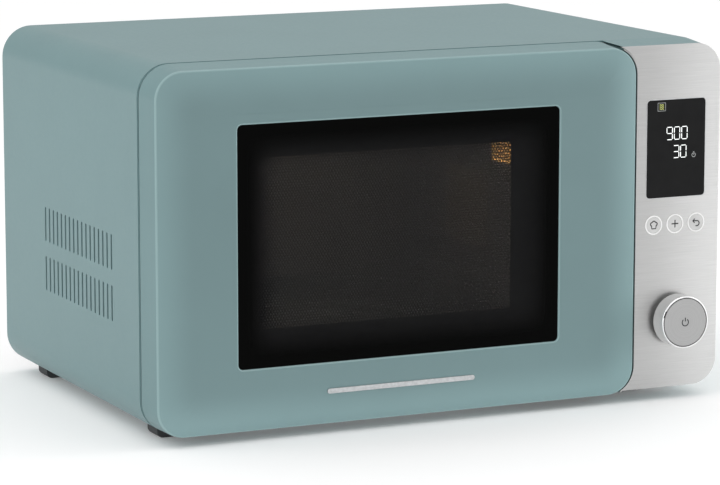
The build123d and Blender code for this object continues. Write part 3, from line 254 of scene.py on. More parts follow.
# ------------ materials
def paint(name, colour):
    """Satin enamel with a fine orange peel and a faint unevenness of tone."""
    mat = material(name, Specular_IOR_Level=0.28)
    space = place(mat)
    mottle(mat, noise(mat, space, 14, detail=4), colour, 0.98, 1.02)
    roughen(mat, noise(mat, space, 260, detail=3), 0.38, 0.46)
    emboss(mat, noise(mat, space, 950, detail=2), 0.10, 0.00006)
    return mat


def door_paint(name, colour, low, high, reach):
    """The same enamel with a painted sheen: its colour is paler round the door's edges, standing in for the
    light they catch.
    """
    mat = paint(name, colour)
    shader = mat.node_tree.nodes["Principled BSDF"]
    paint_tone = shader.inputs["Base Color"].links[0].from_socket
    # painted sheen: full colour at the door's edges, fading to 0.775 of it over the reach inwards
    edge_sheen = ramp(mat, edge_distance(mat, low, high, reach), ((0.0, 1.0), (1.0, 0.775)))
    tint(mat, multiply(mat, paint_tone, edge_sheen))
    return mat


def brushed_steel(name):
    """Long horizontal brush lines at two widths, over a satin steel, with a painted reflection that darkens it
    towards the door.
    """
    mat = material(name, Metallic=1.0, Anisotropic=0.45)
    fine = noise(mat, place(mat, (40, 1, 5200)), 1.0, detail=4, roughness=0.75)
    broad = noise(mat, place(mat, (26, 1, 1500)), 1.0, detail=3, roughness=0.6)
    lines = blend_colours(mat, 0.35, fine, broad)
    tone = ramp(mat, lines, ((0.30, (0.60, 0.60, 0.597)), (0.70, (0.76, 0.76, 0.755))))
    # painted reflection: the steel's tone is 0.72 at the door's edge, rising to full at the right side
    from_door = across(mat, "X", at(DOOR_WIDTH, 0, 0).x, at(WIDTH, 0, 0).x)
    painted_reflection = ramp(mat, from_door, ((0.0, 0.72), (1.0, 1.0)))
    tint(mat, multiply(mat, tone, painted_reflection))
    roughen(mat, lines, 0.30, 0.46)
    emboss(mat, lines, 0.06, 0.00004)
    return mat


def spun_metal(name, centre, colour, low, high):
    """Metal turned on a lathe: fine circles about an axis along Y."""
    mat = material(name, Metallic=1.0)
    moved = place(mat, offset=(-centre.x, 0, -centre.z))
    flat = node(mat, "VectorMath")
    flat.operation = "MULTIPLY"
    flat.inputs[1].default_value = (1, 0, 1)
    link(mat, moved, flat.inputs[0])
    radius = node(mat, "VectorMath")
    radius.operation = "LENGTH"
    link(mat, flat.outputs["Vector"], radius.inputs[0])
    rings = node(mat, "TexNoise", Scale=2600, Detail=3)
    rings.noise_dimensions = "1D"
    link(mat, radius.outputs["Value"], rings.inputs["W"])
    circles = rings.outputs["Fac"]
    mottle(mat, circles, colour, 0.9, 1.1)
    roughen(mat, circles, low, high)
    emboss(mat, circles, 0.06, 0.00003)
    return mat


def satin_metal(name, colour, low, high, grain=400):
    mat = material(name, Metallic=1.0)
    space = place(mat)
    speckle = noise(mat, space, grain, detail=4)
    mottle(mat, speckle, colour, 0.88, 1.1)
    roughen(mat, noise(mat, space, grain / 4, detail=3), low, high)
    emboss(mat, speckle, 0.08, 0.00005)
    return mat


def galvanised_sheet(name):
    """Zinc spangle: flat crystals a few millimetres across, each with its own tone and gloss."""
    mat = material(name, Metallic=1.0)
    space = place(mat)
    crystal = cells(mat, space, 280, output="Color")
    tint(mat, ramp(mat, crystal, ((0.1, (0.46, 0.47, 0.48)), (0.9, (0.58, 0.59, 0.61)))))
    roughen(mat, crystal, 0.28, 0.5)
    emboss(mat, noise(mat, space, 1500, detail=2), 0.06, 0.00005)
    return mat


def enamel(name, colour, speck):
    """Stove enamel with fine flecks."""
    mat = material(name, Coat_Weight=0.3, Coat_Roughness=0.12)
    space = place(mat)
    flecks = ramp(mat, cells(mat, space, 900), ((0.10, 1.0), (0.2, 0.0)))
    chance = ramp(mat, cells(mat, space, 900, output="Color"), ((0.55, 0.0), (0.6, 1.0)))
    spots = multiply(mat, flecks, chance)
    tint(mat, blend_colours(mat, spots, colour, speck))
    roughen(mat, noise(mat, space, 120), 0.26, 0.36)
    emboss(mat, noise(mat, space, 420, detail=2), 0.08, 0.0001)
    return mat


def plastic(name, colour, grain=1800, low=0.42, high=0.56, strength=0.25):
    """Moulded plastic with a spark-eroded grain."""
    mat = material(name)
    space = place(mat)
    pits = noise(mat, space, grain, detail=3)
    mottle(mat, noise(mat, space, 60, detail=4), colour, 0.9, 1.12)
    roughen(mat, pits, low, high)
    emboss(mat, pits, strength, 0.00008)
    return mat


def laminations(name):
    """A stack of lacquered steel sheets, 0.5 mm each."""
    mat = material(name, Metallic=0.7)
    space = place(mat, (1, 2000, 1))
    stack = node(mat, "TexWave", Scale=0.31, Distortion=0.0)
    stack.bands_direction = "Y"
    link(mat, space, stack.inputs["Vector"])
    dust = noise(mat, place(mat), 240, detail=4)
    body = ramp(mat, dust, ((0.3, (0.10, 0.105, 0.11)), (0.7, (0.2, 0.2, 0.21))))
    sheets = ramp(mat, stack.outputs["Fac"], ((0.2, 0.55), (0.6, 1.0)))
    tint(mat, multiply(mat, body, sheets))
    roughen(mat, dust, 0.4, 0.6)
    emboss(mat, stack.outputs["Fac"], 0.3, 0.0002)
    return mat


def circuit_board(name):
    """Green solder mask over copper tracks, with tinned pads."""
    mat = material(name, Coat_Weight=0.4, Coat_Roughness=0.15)
    space = place(mat)
    tracks = cells(mat, space, 260, feature="DISTANCE_TO_EDGE")
    copper = ramp(mat, tracks, ((0.06, 1.0), (0.1, 0.0)))
    mask = blend_colours(mat, copper, (0.012, 0.07, 0.028), (0.03, 0.15, 0.06))
    pads = ramp(mat, cells(mat, space, 380), ((0.12, 1.0), (0.16, 0.0)))
    tint(mat, blend_colours(mat, pads, mask, (0.62, 0.62, 0.58)))
    drive(mat, "Metallic", pads)
    roughen(mat, pads, 0.5, 0.3)
    emboss(mat, copper, 0.2, 0.0001)
    return mat


def mica_sheet(name):
    mat = material(name, Coat_Weight=0.2, Coat_Roughness=0.3)
    space = place(mat, (1, 0.5, 1))
    flakes = cells(mat, space, 240, output="Color")
    tint(mat, ramp(mat, flakes, ((0.1, (0.36, 0.33, 0.27)), (0.9, (0.56, 0.53, 0.46)))))
    roughen(mat, flakes, 0.3, 0.55)
    emboss(mat, noise(mat, space, 500), 0.15, 0.0001)
    return mat


def clear_glass(name, colour, shown):
    """Clear pane. Seen through by its alpha, so that nothing behind it shifts."""
    mat = material(name, Alpha=shown, Specular_IOR_Level=0.5)
    space = place(mat)
    haze = noise(mat, space, 30, detail=4)
    mottle(mat, haze, colour, 0.96, 1.0)
    roughen(mat, haze, 0.03, 0.08)
    return mat


def pressed_glass(name):
    """The tray's thick pressed glass, with faint ripples."""
    mat = material(name, Transmission_Weight=1.0, IOR=1.5, Base_Color=(0.93, 0.975, 0.96, 1))
    space = place(mat)
    ripple = noise(mat, space, 45, detail=3)
    roughen(mat, ripple, 0.01, 0.05)
    emboss(mat, ripple, 0.08, 0.0006)
    return mat


def glowing(name, colour, strength, grain=300):
    mat = material(name, Emission_Strength=strength)
    space = place(mat)
    texture = noise(mat, space, grain, detail=2)
    drive(mat, "Emission Color", mottle(mat, texture, colour, 0.85, 1.0))
    roughen(mat, texture, 0.3, 0.5)
    return mat


FRIT_BAND = 8.0 * MM
FRIT_FADE = 30.0 * MM
FRIT_COLOUR = (0.0016, 0.0017, 0.0016)
TINT_COLOUR = (0.017, 0.017, 0.0175)
PANEL_DARK = (0.0125, 0.0127, 0.013)
PANEL_LIGHT = (0.0150, 0.0152, 0.0155)


def window_glass(name):
    """Dark glass: a printed black border that fades into a see-through grey tint."""
    mat = material(name, Specular_IOR_Level=0.02)
    band = Vector((FRIT_BAND, 0, FRIT_BAND))
    clear = edge_distance(mat, glass_low + band * 1.6, glass_high - band * 1.6, FRIT_FADE)
    tint(mat, ramp(mat, clear, ((0.0, FRIT_COLOUR), (1.0, TINT_COLOUR))))
    drive(mat, "Alpha", ramp(mat, clear, ((0.0, 1.0), (1.0, 0.50))))
    roughen(mat, noise(mat, place(mat), 80), 0.02, 0.05)
    return mat


def display_glass(name):
    """Smoked display pane over an unlit panel."""
    mat = material(name, Specular_IOR_Level=0.06)
    space = place(mat)
    haze = noise(mat, space, 90, detail=3)
    tint(mat, ramp(mat, haze, ((0.3, PANEL_DARK), (0.7, PANEL_LIGHT))))
    roughen(mat, haze, 0.05, 0.12)
    return mat


PAINT_COLOUR = (0.162, 0.262, 0.271)
# the door's enamel as painted at its lit edges; the painted sheen darkens it to about the casing's tone inside
DOOR_EDGE_LIT_COLOUR = (0.212, 0.325, 0.335)
# a lighter copy of the door's enamel: painted highlight on the crease's rounding and the window's bevel
CREASE_HIGHLIGHT_COLOUR = (0.262, 0.385, 0.392)
# how far in from the door's edges the painted sheen fades
SHEEN_REACH = 34 * MM
knob_centre = at(KNOB_X, 0, KNOB_Z)
casing_paint = paint("casing_paint", PAINT_COLOUR)
moulding_paint = paint("moulding_paint", PAINT_COLOUR)
# the door's face enamel, with a painted sheen round its edges
door_enamel = door_paint("door_enamel", DOOR_EDGE_LIT_COLOUR, door_low, door_high, SHEEN_REACH)
steel = brushed_steel("brushed_steel")
knob_metal = spun_metal("knob_metal", knob_centre, (0.90, 0.90, 0.90), 0.28, 0.38)
knob_disc_metal = spun_metal("knob_disc_metal", knob_centre, (0.445, 0.445, 0.445), 0.42, 0.52)
zinc = galvanised_sheet("zinc")
aluminium = satin_metal("aluminium", (0.6, 0.61, 0.62), 0.3, 0.45)
bright_steel = satin_metal("bright_steel", (0.58, 0.58, 0.57), 0.2, 0.34, grain=900)
cavity_enamel = enamel("cavity_enamel", (0.30, 0.30, 0.295), (0.62, 0.62, 0.6))
choke_enamel = enamel("choke_enamel", (0.10, 0.10, 0.10), (0.2, 0.2, 0.2))
screen_paint = plastic("screen_paint", (0.012, 0.012, 0.0125), grain=2200, low=0.5, high=0.62, strength=0.1)
dark_plastic = plastic("dark_plastic", (0.030, 0.031, 0.033))
light_plastic = plastic("light_plastic", (0.70, 0.70, 0.68), low=0.36, high=0.46, strength=0.12)
ring_plastic = plastic("ring_plastic", (0.95, 0.95, 0.94), low=0.3, high=0.4, strength=0.05)
button_plastic = plastic("button_plastic", (0.58, 0.58, 0.575), grain=2600, low=0.4, high=0.5, strength=0.1)
ink = plastic("ink", (0.02, 0.02, 0.021), grain=3000, low=0.45, high=0.6, strength=0.05)
laminated_steel = laminations("laminated_steel")
board_green = circuit_board("board_green")
rubber = plastic("rubber", (0.045, 0.046, 0.048), grain=900, low=0.6, high=0.78, strength=0.35)
mica = mica_sheet("mica")
# painted shade: near-black sheet colour standing in for the dark inside the casing behind the vents
gauze = plastic("gauze", (0.012, 0.014, 0.014), grain=1200, low=0.7, high=0.85, strength=0.4)
window_tint = window_glass("window_tint")
# painted highlight: the lighter enamel for the crease and the window's bevel
crease_enamel = paint("crease_enamel", CREASE_HIGHLIGHT_COLOUR)
display_black = display_glass("display_black")
pane_glass = clear_glass("pane_glass", (0.78, 0.82, 0.80), 0.10)
tray_glass = pressed_glass("tray_glass")
bulb_glass = glowing("bulb_glass", (1.0, 0.74, 0.42), 6.0)
diffuser_glass = glowing("diffuser_glass", (1.0, 0.66, 0.26), 5.0)
# painted light: the lamp's grille is no lamp, but glows as if lit by the bulb behind it
grille_enamel = glowing("grille_enamel", (0.62, 0.42, 0.16), 1.1)
lit_white = glowing("lit_white", (0.9, 0.93, 0.92), 0.75)
lit_lime = glowing("lit_lime", (0.55, 0.60, 0.18), 0.35)
lit_grey = glowing("lit_grey", (0.32, 0.33, 0.33), 0.3)


# ------------ mesh building
def baked(shape, name):
    """The mesh made from a bmesh, which is freed."""
    mesh = bpy.data.meshes.new(name)
    shape.to_mesh(mesh)
    shape.free()
    return mesh


def in_scene(name, data):
    made = bpy.data.objects.new(name, data)
    bpy.context.scene.collection.objects.link(made)
    return made


def face_outwards(mesh):
    shape = bmesh.new()
    shape.from_mesh(mesh)
    bmesh.ops.recalc_face_normals(shape, faces=shape.faces)
    shape.to_mesh(mesh)
    shape.free()


def piece(name, verts, faces, mat, body, slot=None, replaces=(), **shading):
    """A finished piece that rides on a body: smooth shaded, with sharp edges past an angle."""
    mesh = bpy.data.meshes.new(name)
    mesh.from_pydata([tuple(v) for v in verts], [], faces)
    return finish_mesh(name, mesh, mat, body, slot, replaces, **shading)


def finish_mesh(name, mesh, mat, body, slot=None, replaces=(), sharp=38.0, weighted=True):
    face_outwards(mesh)
    mesh.shade_smooth()
    mesh.set_sharp_from_angle(angle=math.radians(sharp))
    if mat:
        mesh.materials.append(mat)
    made = in_scene(name, mesh)
    if weighted:
        normals = made.modifiers.new("weighted", "WEIGHTED_NORMAL")
        normals.keep_sharp = True
    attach(made, body)
    if replaces:
        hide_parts(*replaces)
    return made


def rounded_ring(x0, x1, z0, z1, radius, depth, steps=10):
    """Points round a rounded rectangle that faces the front."""
    corners = ((x1 - radius, z1 - radius, 0), (x0 + radius, z1 - radius, 90),
               (x0 + radius, z0 + radius, 180), (x1 - radius, z0 + radius, 270))
    points = []
    for cx, cz, start in corners:
        for step in range(steps + 1):
            angle = math.radians(start + 90 * step / steps)
            points.append(at(cx + radius * math.cos(angle), depth, cz + radius * math.sin(angle)))
    return points


def ring_outline(x0, x1, z0, z1, radius, steps=10):
    """The (x, z) places of a rounded rectangle, in millimetres."""
    return [(from_left(p.x), height_of(p.z)) for p in rounded_ring(x0, x1, z0, z1, radius, 0, steps)]


def circle_ring(x, z, radius, depth, steps):
    angles = [2 * math.pi * step / steps for step in range(steps)]
    return [at(x + radius * math.cos(a), depth, z + radius * math.sin(a)) for a in angles]


def skin(rings, closed=False, caps=True):
    """Quads between rings of equal length; closed joins the last ring to the first."""
    size = len(rings[0])
    verts = [point for ring in rings for point in ring]
    faces = []
    spans = len(rings) if closed else len(rings) - 1
    for row in range(spans):
        low, high = row * size, (row + 1) % len(rings) * size
        for i in range(size):
            j = (i + 1) % size
            faces.append((low + i, low + j, high + j, high + i))
    if caps and not closed:
        faces.append(tuple(range(size)))
        faces.append(tuple(range((len(rings) - 1) * size, len(rings) * size)))
    return verts, faces


def layered(bounds, radius, layers):
    """Rings of a raised plate within (x0, x1, z0, z1): an (inset, depth) pair for each ring."""
    x0, x1, z0, z1 = bounds
    return [rounded_ring(x0 + inset, x1 - inset, z0 + inset, z1 - inset, radius - inset, depth)
            for inset, depth in layers]


def join_on(verts, faces, more_verts, more_faces):
    """Adds one shape's points and faces to another's."""
    start = len(verts)
    verts += more_verts
    faces += [tuple(i + start for i in face) for face in more_faces]


def thick_sheet(points, faces, front, thickness):
    """A flat net of faces given both sides and a wall along every open edge."""
    count = len(points)
    verts = [at(x, front, z) for x, z in points] + [at(x, front + thickness, z) for x, z in points]
    used = dict.fromkeys(edge for face in faces for edge in zip(face, face[1:] + face[:1]))
    walls = [(b, a, a + count, b + count) for a, b in used if (b, a) not in used]
    back = [tuple(i + count for i in reversed(face)) for face in faces]
    return verts, list(faces) + back + walls


def arc_points(cx, cz, radius, start, end, steps):
    span = [math.radians(start + (end - start) * i / steps) for i in range(steps + 1)]
    return [(cx + radius * math.cos(a), cz + radius * math.sin(a)) for a in span]


def stroke(points, width, closed=False):
    """Flat band of even width along a line: its points and its quads."""
    half = width / 2
    count = len(points)
    rims = []
    for i, (x, z) in enumerate(points):
        before = points[(i - 1) % count] if closed or i else points[i]
        after = points[(i + 1) % count] if closed or i < count - 1 else points[i]
        dx, dz = after[0] - before[0], after[1] - before[1]
        length = math.hypot(dx, dz) or 1.0
        nx, nz = -dz / length * half, dx / length * half
        rims += [(x + nx, z + nz), (x - nx, z - nz)]
    spans = count if closed else count - 1
    quads = []
    for i in range(spans):
        a, b = 2 * i, 2 * ((i + 1) % count)
        quads.append((a, a + 1, b + 1, b))
    return rims, quads


def inlay(name, bands, front, thickness, mat, body, slot=None):
    """Thin filled marks from (points, quads) bands, standing on one surface."""
    verts, faces = [], []
    for points, quads in bands:
        more, walls = thick_sheet(points, quads, front, thickness)
        join_on(verts, faces, more, walls)
    return piece(name, verts, faces, mat, body, slot, weighted=False)


LATHE_STEPS = 160


def lathe(name, x, z, profile, mat, body, slot=None, replaces=(), closed=False):
    """Turned piece about an axis along Y; the profile is (radius, depth) pairs."""
    rings = [circle_ring(x, z, radius, depth, LATHE_STEPS) for radius, depth in profile]
    verts, faces = skin(rings, closed)
    return piece(name, verts, faces, mat, body, slot, replaces)


def round_edges(shape, edges, radius, segments, **options):
    bmesh.ops.bevel(
        shape, geom=edges, offset=radius * MM, segments=segments, profile=0.5, affect="EDGES", **options)


def refined(node_name, bevel, mat, slot=None, name=None, segments=2, sharp=32.0):
    """The CAD node's own shape with its sharp edges rounded, standing for the node."""
    source = frame["nodes"][node_name]
    shape = bmesh.new()
    shape.from_mesh(source.data)
    bmesh.ops.remove_doubles(shape, verts=shape.verts, dist=0.002 * MM)
    bmesh.ops.dissolve_limit(shape, angle_limit=math.radians(0.4), verts=shape.verts, edges=shape.edges)
    limit = math.radians(sharp)
    keen = [e for e in shape.edges if len(e.link_faces) == 2 and e.calc_face_angle(0) > limit]
    round_edges(shape, keen, bevel, segments, clamp_overlap=True)
    name = name or node_name + "_finish"
    mesh = baked(shape, name)
    return finish_mesh(name, mesh, mat, source["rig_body"], slot, (node_name,), sharp=45.0)


def block_mesh(shape, x0, x1, d0, d1, z0, z1):
    """Adds a box to a bmesh."""
    corners = [at(x, d, z) for x in (x0, x1) for d in (d0, d1) for z in (z0, z1)]
    verts = [shape.verts.new(c) for c in corners]
    for quad in ((0, 1, 3, 2), (4, 6, 7, 5), (0, 4, 5, 1), (2, 3, 7, 6), (0, 2, 6, 4), (1, 5, 7, 3)):
        shape.faces.new([verts[i] for i in quad])


def rounded_blocks(name, blocks, rounding, segments=2):
    """Mesh of boxes, each (x0, x1, d0, d1, z0, z1), with their edges rounded."""
    shape = bmesh.new()
    for block in blocks:
        block_mesh(shape, *block)
    bmesh.ops.recalc_face_normals(shape, faces=shape.faces)
    if rounding:
        round_edges(shape, list(shape.edges), rounding, segments)
    return baked(shape, name)


def tool_box(name, bounds, rounding=0.0):
    """A box that only serves a boolean."""
    return in_scene(name, rounded_blocks(name, (bounds,), rounding, segments=3))


def carve(target_mesh, steps):
    """Applies (operation, tool) booleans to a mesh and returns the new mesh."""
    worked = in_scene("worked", target_mesh)
    for operation, tool in steps:
        change = worked.modifiers.new(operation, "BOOLEAN")
        change.operation = operation
        change.object = tool
        change.solver = "EXACT"
    bpy.context.view_layer.update()
    graph = bpy.context.evaluated_depsgraph_get()
    result = bpy.data.meshes.new_from_object(worked.evaluated_get(graph))
    bpy.data.objects.remove(worked)
    for _, tool in steps:
        bpy.data.objects.remove(tool)
    return result


# ------------ door
DRAFT = 3.0
RIGHT_DRAFT = 0.4
BOTTOM_DRAFT = 0.2
WALL = 3.0
EDGE_R = 3.0
EDGE_STEPS = 6
CREASE_ROUND = 1.3
CREASE_STEPS = 5
CREASE_FIRST = 11
CREASE_LAST = 16
BEVEL_FIRST = 29
BEVEL_LAST = 32
CREASE_R = 22.0
REAR_R = 25.0
SIDE_DEPTHS = (18.0, 11.0, 5.0)
CROWN_REACH = 50.0
CROWN_POWER = 3.2
CROWN_INSETS = (2.2, 3.4, 5, 7, 9.5, 12.5, 16, 20, 25, 30, 36)
FACE_BACK = 2.0
GLASS_SEAT = 6.0
GLASS_PLAY = 0.3
SEAT_DEPTH = -1.0
WINDOW_BEVEL = 1.1
WINDOW_R = 4.0
WINDOW_LEFT = from_left(glass_low.x) + GLASS_SEAT - GLASS_PLAY
WINDOW_RIGHT = from_left(glass_high.x) - GLASS_SEAT + GLASS_PLAY
WINDOW_LOW = height_of(glass_low.z) + GLASS_SEAT - GLASS_PLAY
WINDOW_HIGH = height_of(glass_high.z) - GLASS_SEAT + GLASS_PLAY
# Left, right, front, back, bottom and top of the grip under the door and of the walls round it.
GRIP_WALLS = (316, 386, 6, 24, 1.2, 14)
GRIP = (318, 384, 7.5, 22.5, -4, 12.5)
ARM_INSET = 9
POCKET_HALF = 8
POCKET_LEFT, POCKET_RIGHT = 3.6, 12


def stand_out(inset):
    """How far the crowned face stands in front of the crease plane."""
    return CROWN * (1 - (1 - min(inset, CROWN_REACH) / CROWN_REACH) ** CROWN_POWER)


def door_outline(depth, inset=0.0):
    """Outer bounds and corner radius of the door's drafted side walls at a depth."""
    back = depth / DOOR_REAR
    radius = CREASE_R + (REAR_R - CREASE_R) * back
    return (DRAFT * (1 - back) + inset, DOOR_WIDTH - RIGHT_DRAFT * (1 - back) - inset,
            BOTTOM_DRAFT * (1 - back) + inset, HEIGHT - DRAFT * (1 - back) - inset, max(radius - inset, 1.0))


def window_outline(margin):
    return (WINDOW_LEFT - margin, WINDOW_RIGHT + margin, WINDOW_LOW - margin, WINDOW_HIGH + margin,
            WINDOW_R + margin)


def door_rings():
    """The skin's section, from the rear rim over the side, crease and crown into the window."""
    inner = (DRAFT + WALL, DOOR_WIDTH - RIGHT_DRAFT - WALL, BOTTOM_DRAFT + WALL, HEIGHT - DRAFT - WALL,
             CREASE_R - WALL)
    rings = [rounded_ring(*inner, DOOR_REAR)]
    for step in range(EDGE_STEPS + 1):
        angle = math.radians(90 * step / EDGE_STEPS)
        rings.append(rounded_ring(*door_outline(DOOR_REAR, EDGE_R * (1 - math.sin(angle))),
                                  DOOR_REAR - EDGE_R * (1 - math.cos(angle))))
    for depth in SIDE_DEPTHS:
        rings.append(rounded_ring(*door_outline(depth), depth))
    lift = stand_out(CREASE_ROUND)
    for step in range(CREASE_STEPS + 1):
        angle = math.radians(90 * step / CREASE_STEPS)
        inset = CREASE_ROUND * (1 - math.cos(angle))
        depth = CREASE_ROUND * (1 - math.sin(angle)) - lift * math.sin(angle)
        rings.append(rounded_ring(*door_outline(0, inset), depth))
    for inset in CROWN_INSETS:
        rings.append(rounded_ring(*door_outline(0, inset), -stand_out(inset)))
    for margin, depth in ((8.0, -CROWN), (WINDOW_BEVEL, -CROWN), (WINDOW_BEVEL * 0.75, -3.93),
                          (0.25, -3.45), (0.0, -3.2), (0.0, SEAT_DEPTH), (GLASS_SEAT, SEAT_DEPTH),
                          (GLASS_SEAT, FACE_BACK)):
        rings.append(rounded_ring(*window_outline(margin), depth))
    rings.append(rounded_ring(*inner, FACE_BACK))
    return rings


def build_door_skin():
    rings = door_rings()
    verts, faces = skin(rings, closed=True)
    mesh = bpy.data.meshes.new("door_skin_blank")
    mesh.from_pydata([tuple(v) for v in verts], [], faces)
    for mat in (door_enamel, crease_enamel, moulding_paint):
        mesh.materials.append(mat)
    size = len(rings[0])
    for face in mesh.polygons:
        row = face.index // size
        # rows of the crease's rounding and of the window's bevel get the painted highlight
        if CREASE_FIRST <= row < CREASE_LAST or BEVEL_FIRST <= row < BEVEL_LAST:
            face.material_index = 1
        elif row < CREASE_FIRST:
            face.material_index = 2
    face_outwards(mesh)
    steps = [("UNION", tool_box("recess_walls", GRIP_WALLS, 1.0)),
             ("DIFFERENCE", tool_box("recess", GRIP, 1.2))]
    arm_low, arm_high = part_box("hinge_arms")
    for z in (height_of(arm_low.z) + ARM_INSET, height_of(arm_high.z) - ARM_INSET):
        pocket = (POCKET_LEFT, POCKET_RIGHT, FACE_BACK + 0.4, DOOR_REAR + 4, z - POCKET_HALF, z + POCKET_HALF)
        steps.append(("DIFFERENCE", tool_box("hinge_pocket", pocket)))
    carved = carve(mesh, steps)
    carved.name = "door_skin"
    return finish_mesh("door_skin", carved, None, "door", "moulding_paint", ("door_outer_cover",), 34.0)


def build_window():
    """Outer pane with a polished edge, and its wider flange behind the opening."""
    front = depth_of(glass_low.y)
    flange = GLASS_SEAT - GLASS_PLAY
    layers = ((flange, FACE_BACK), (flange, -0.95), (-0.2, -0.95), (-0.2, front + 0.5),
              (-0.35, front + 0.15), (-0.7, front))
    verts, faces = skin([rounded_ring(*window_outline(margin), depth) for margin, depth in layers])
    return piece("window_pane", verts, faces, window_tint, "door", "tinted_glass", ("door_window_glass",))


# Rows of (depth, right inner, top inner, right outer, top outer) offsets from the door's outline.
FASCIA_EDGE = ((0.12, 1.0, 0.4, 1.5, 1.5), (1.4, 1.0, 0.4, 1.5, 1.5))
SLOT_LINING = ((1.6, 0.95, 0.4, 1.2, 1.2), (9.0, 0.85, 0.5, 1.1, 1.1), (26.5, 0.6, 0.6, 0.95, 0.95))
LINING_START = 397.0     # left end of the strips
SEAM_INSET = 0.37
SEAM_WIDTH = 0.5
JOINT_DEPTH = 28.6


def beside_door(depth, right, top):
    """The door's outline at a depth, grown sideways and upwards, for the arc beside the column."""
    x0, x1, z0, z1, radius = door_outline(depth)
    outline = ring_outline(x0 - right, x1 + right, z0 - top, z1 + top, radius + top)
    return sorted((point for point in outline if point[0] > LINING_START), key=lambda point: point[1])


def slot_strip(name, rows, mat, slot):
    """Strip along the slot between the door and the column, closed at both ends."""
    arcs = [(depth, beside_door(depth, right, top)) for depth, right, top, _, _ in rows]
    arcs += [(depth, beside_door(depth, right, top)) for depth, _, _, right, top in rows[::-1]]
    length = min(len(arc) for _, arc in arcs)
    loops = []
    for depth, arc in arcs:
        start = (len(arc) - length) // 2
        loops.append([at(x, depth, z) for x, z in arc[start:start + length]])
    verts, faces = skin(list(zip(*loops)))
    return piece(name, verts, faces, mat, "cabinet", slot)


def build_gap_seal():
    """Steel edge and lining of the slot beside the door, a seal behind its rim, and a dark band of painted
    shade along the column's joint.
    """
    slot_strip("fascia_edge", FASCIA_EDGE, steel, "brushed_panel")
    slot_strip("slot_lining", SLOT_LINING, moulding_paint, "moulding_paint")
    seam = ring_outline(*door_outline(DOOR_REAR, 0.75))
    inlay("seam_seal", (stroke(seam, SEAM_WIDTH, closed=True),), DOOR_REAR + 0.35, 0.95, moulding_paint,
          "cabinet", "moulding_paint")
    # painted shade: a thin dark band standing in for the shadow in the joint between the casing and the column
    joint = ring_outline(SEAM_INSET, WIDTH - SEAM_INSET, SEAM_INSET, HEIGHT - SEAM_INSET, REAR_R - SEAM_INSET)
    joint = sorted((p for p in joint if p[0] > WIDTH - REAR_R), key=lambda p: p[1])
    low, high = (DOOR_WIDTH - 8, SEAM_INSET), (DOOR_WIDTH - 8, HEIGHT - SEAM_INSET)
    band = stroke([low, *joint, high], SEAM_WIDTH)
    inlay("housing_joint", (band,), JOINT_DEPTH, 0.4, ink, "cabinet", "dark_plastic")


BAR_R = 1.9


def build_trim_bar():
    x0, x1, front, _, z0, z1 = span(*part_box("door_trim_bar"))
    layers = ((0, front + 1.3), (0, front + 0.3), (0.1, front + 0.08), (0.35, front))
    verts, faces = skin(layered((x0, x1, z0, z1), BAR_R, layers))
    return piece("trim_bar", verts, faces, aluminium, "door", "brushed_panel", ("door_trim_bar",))


# ------------ perforated screen
HOLE_PITCH = 2.4
HOLE_R = 0.86
FIELD_LEFT, FIELD_RIGHT, FIELD_LOW, FIELD_HIGH = 88.0, 314.5, 71.0, 208.5
ROW_STEP = HOLE_PITCH * math.sqrt(3) / 2
ROWS = int((FIELD_HIGH - FIELD_LOW) / ROW_STEP)
COLUMNS = int((FIELD_RIGHT - FIELD_LEFT) / HOLE_PITCH)


def screen_net():
    """Webs between neighbouring six-sided holes: three quads and two triangles a hole.

    The holes are a triangular lattice, so odd rows are shifted by half a pitch.
    """
    points, faces, first = [], [], {}
    for row in range(ROWS):
        for column in range(COLUMNS):
            first[row, column] = len(points)
            cx = FIELD_LEFT + (column + 0.5 * (row % 2) + 0.5) * HOLE_PITCH
            cz = FIELD_LOW + (row + 0.5) * ROW_STEP
            for corner in range(6):
                angle = math.radians(30 + 60 * corner)
                points.append((cx + HOLE_R * math.cos(angle), cz + HOLE_R * math.sin(angle)))
    for (row, column), here in first.items():
        east = first.get((row, column + 1))
        right = first.get((row + 1, column + row % 2))
        left = first.get((row + 1, column + row % 2 - 1))
        webs = (((here, 0), (here, 5), (east, 3), (east, 2)), ((here, 1), (here, 0), (right, 4), (right, 3)),
                ((here, 2), (here, 1), (left, 5), (left, 4)), ((here, 0), (east, 2), (right, 4)),
                ((here, 1), (right, 3), (left, 5)))
        for web in webs:
            if all(hole is not None for hole, _ in web):
                faces.append(tuple(hole + corner for hole, corner in web))
    return points, faces


def build_screen():
    """The net of holes, and a solid frame round it."""
    x0, x1, front, back, z0, z1 = span(screen_low, screen_high)
    points, faces = screen_net()
    verts, quads = thick_sheet(points, faces, front + 0.05, 0.5)
    opening = (FIELD_LEFT + HOLE_PITCH, FIELD_RIGHT - HOLE_PITCH,
               FIELD_LOW + HOLE_PITCH, FIELD_HIGH - HOLE_PITCH)
    rings = [rounded_ring(x0, x1, z0, z1, 2.0, depth, steps=3) for depth in (front, back)]
    rings += [rounded_ring(*opening, 1.5, depth, steps=3) for depth in (back, front)]
    join_on(verts, quads, *skin(rings, closed=True))
    return piece("screen", verts, quads, screen_paint, "door", "galvanised", ("perforated_screen",),
                 weighted=False)


# ------------ knob
RIM_WIDTH = 1.0
DISC_GAP = 0.7
SHAFT_R = 3.0
HUB_R = 12
SHOULDER = -4.5
MARK_RELIEF = 0.02       # the knob is set back by this, so that its marks stay inside its box
POWER_R = 2.85
STROKE = 0.85


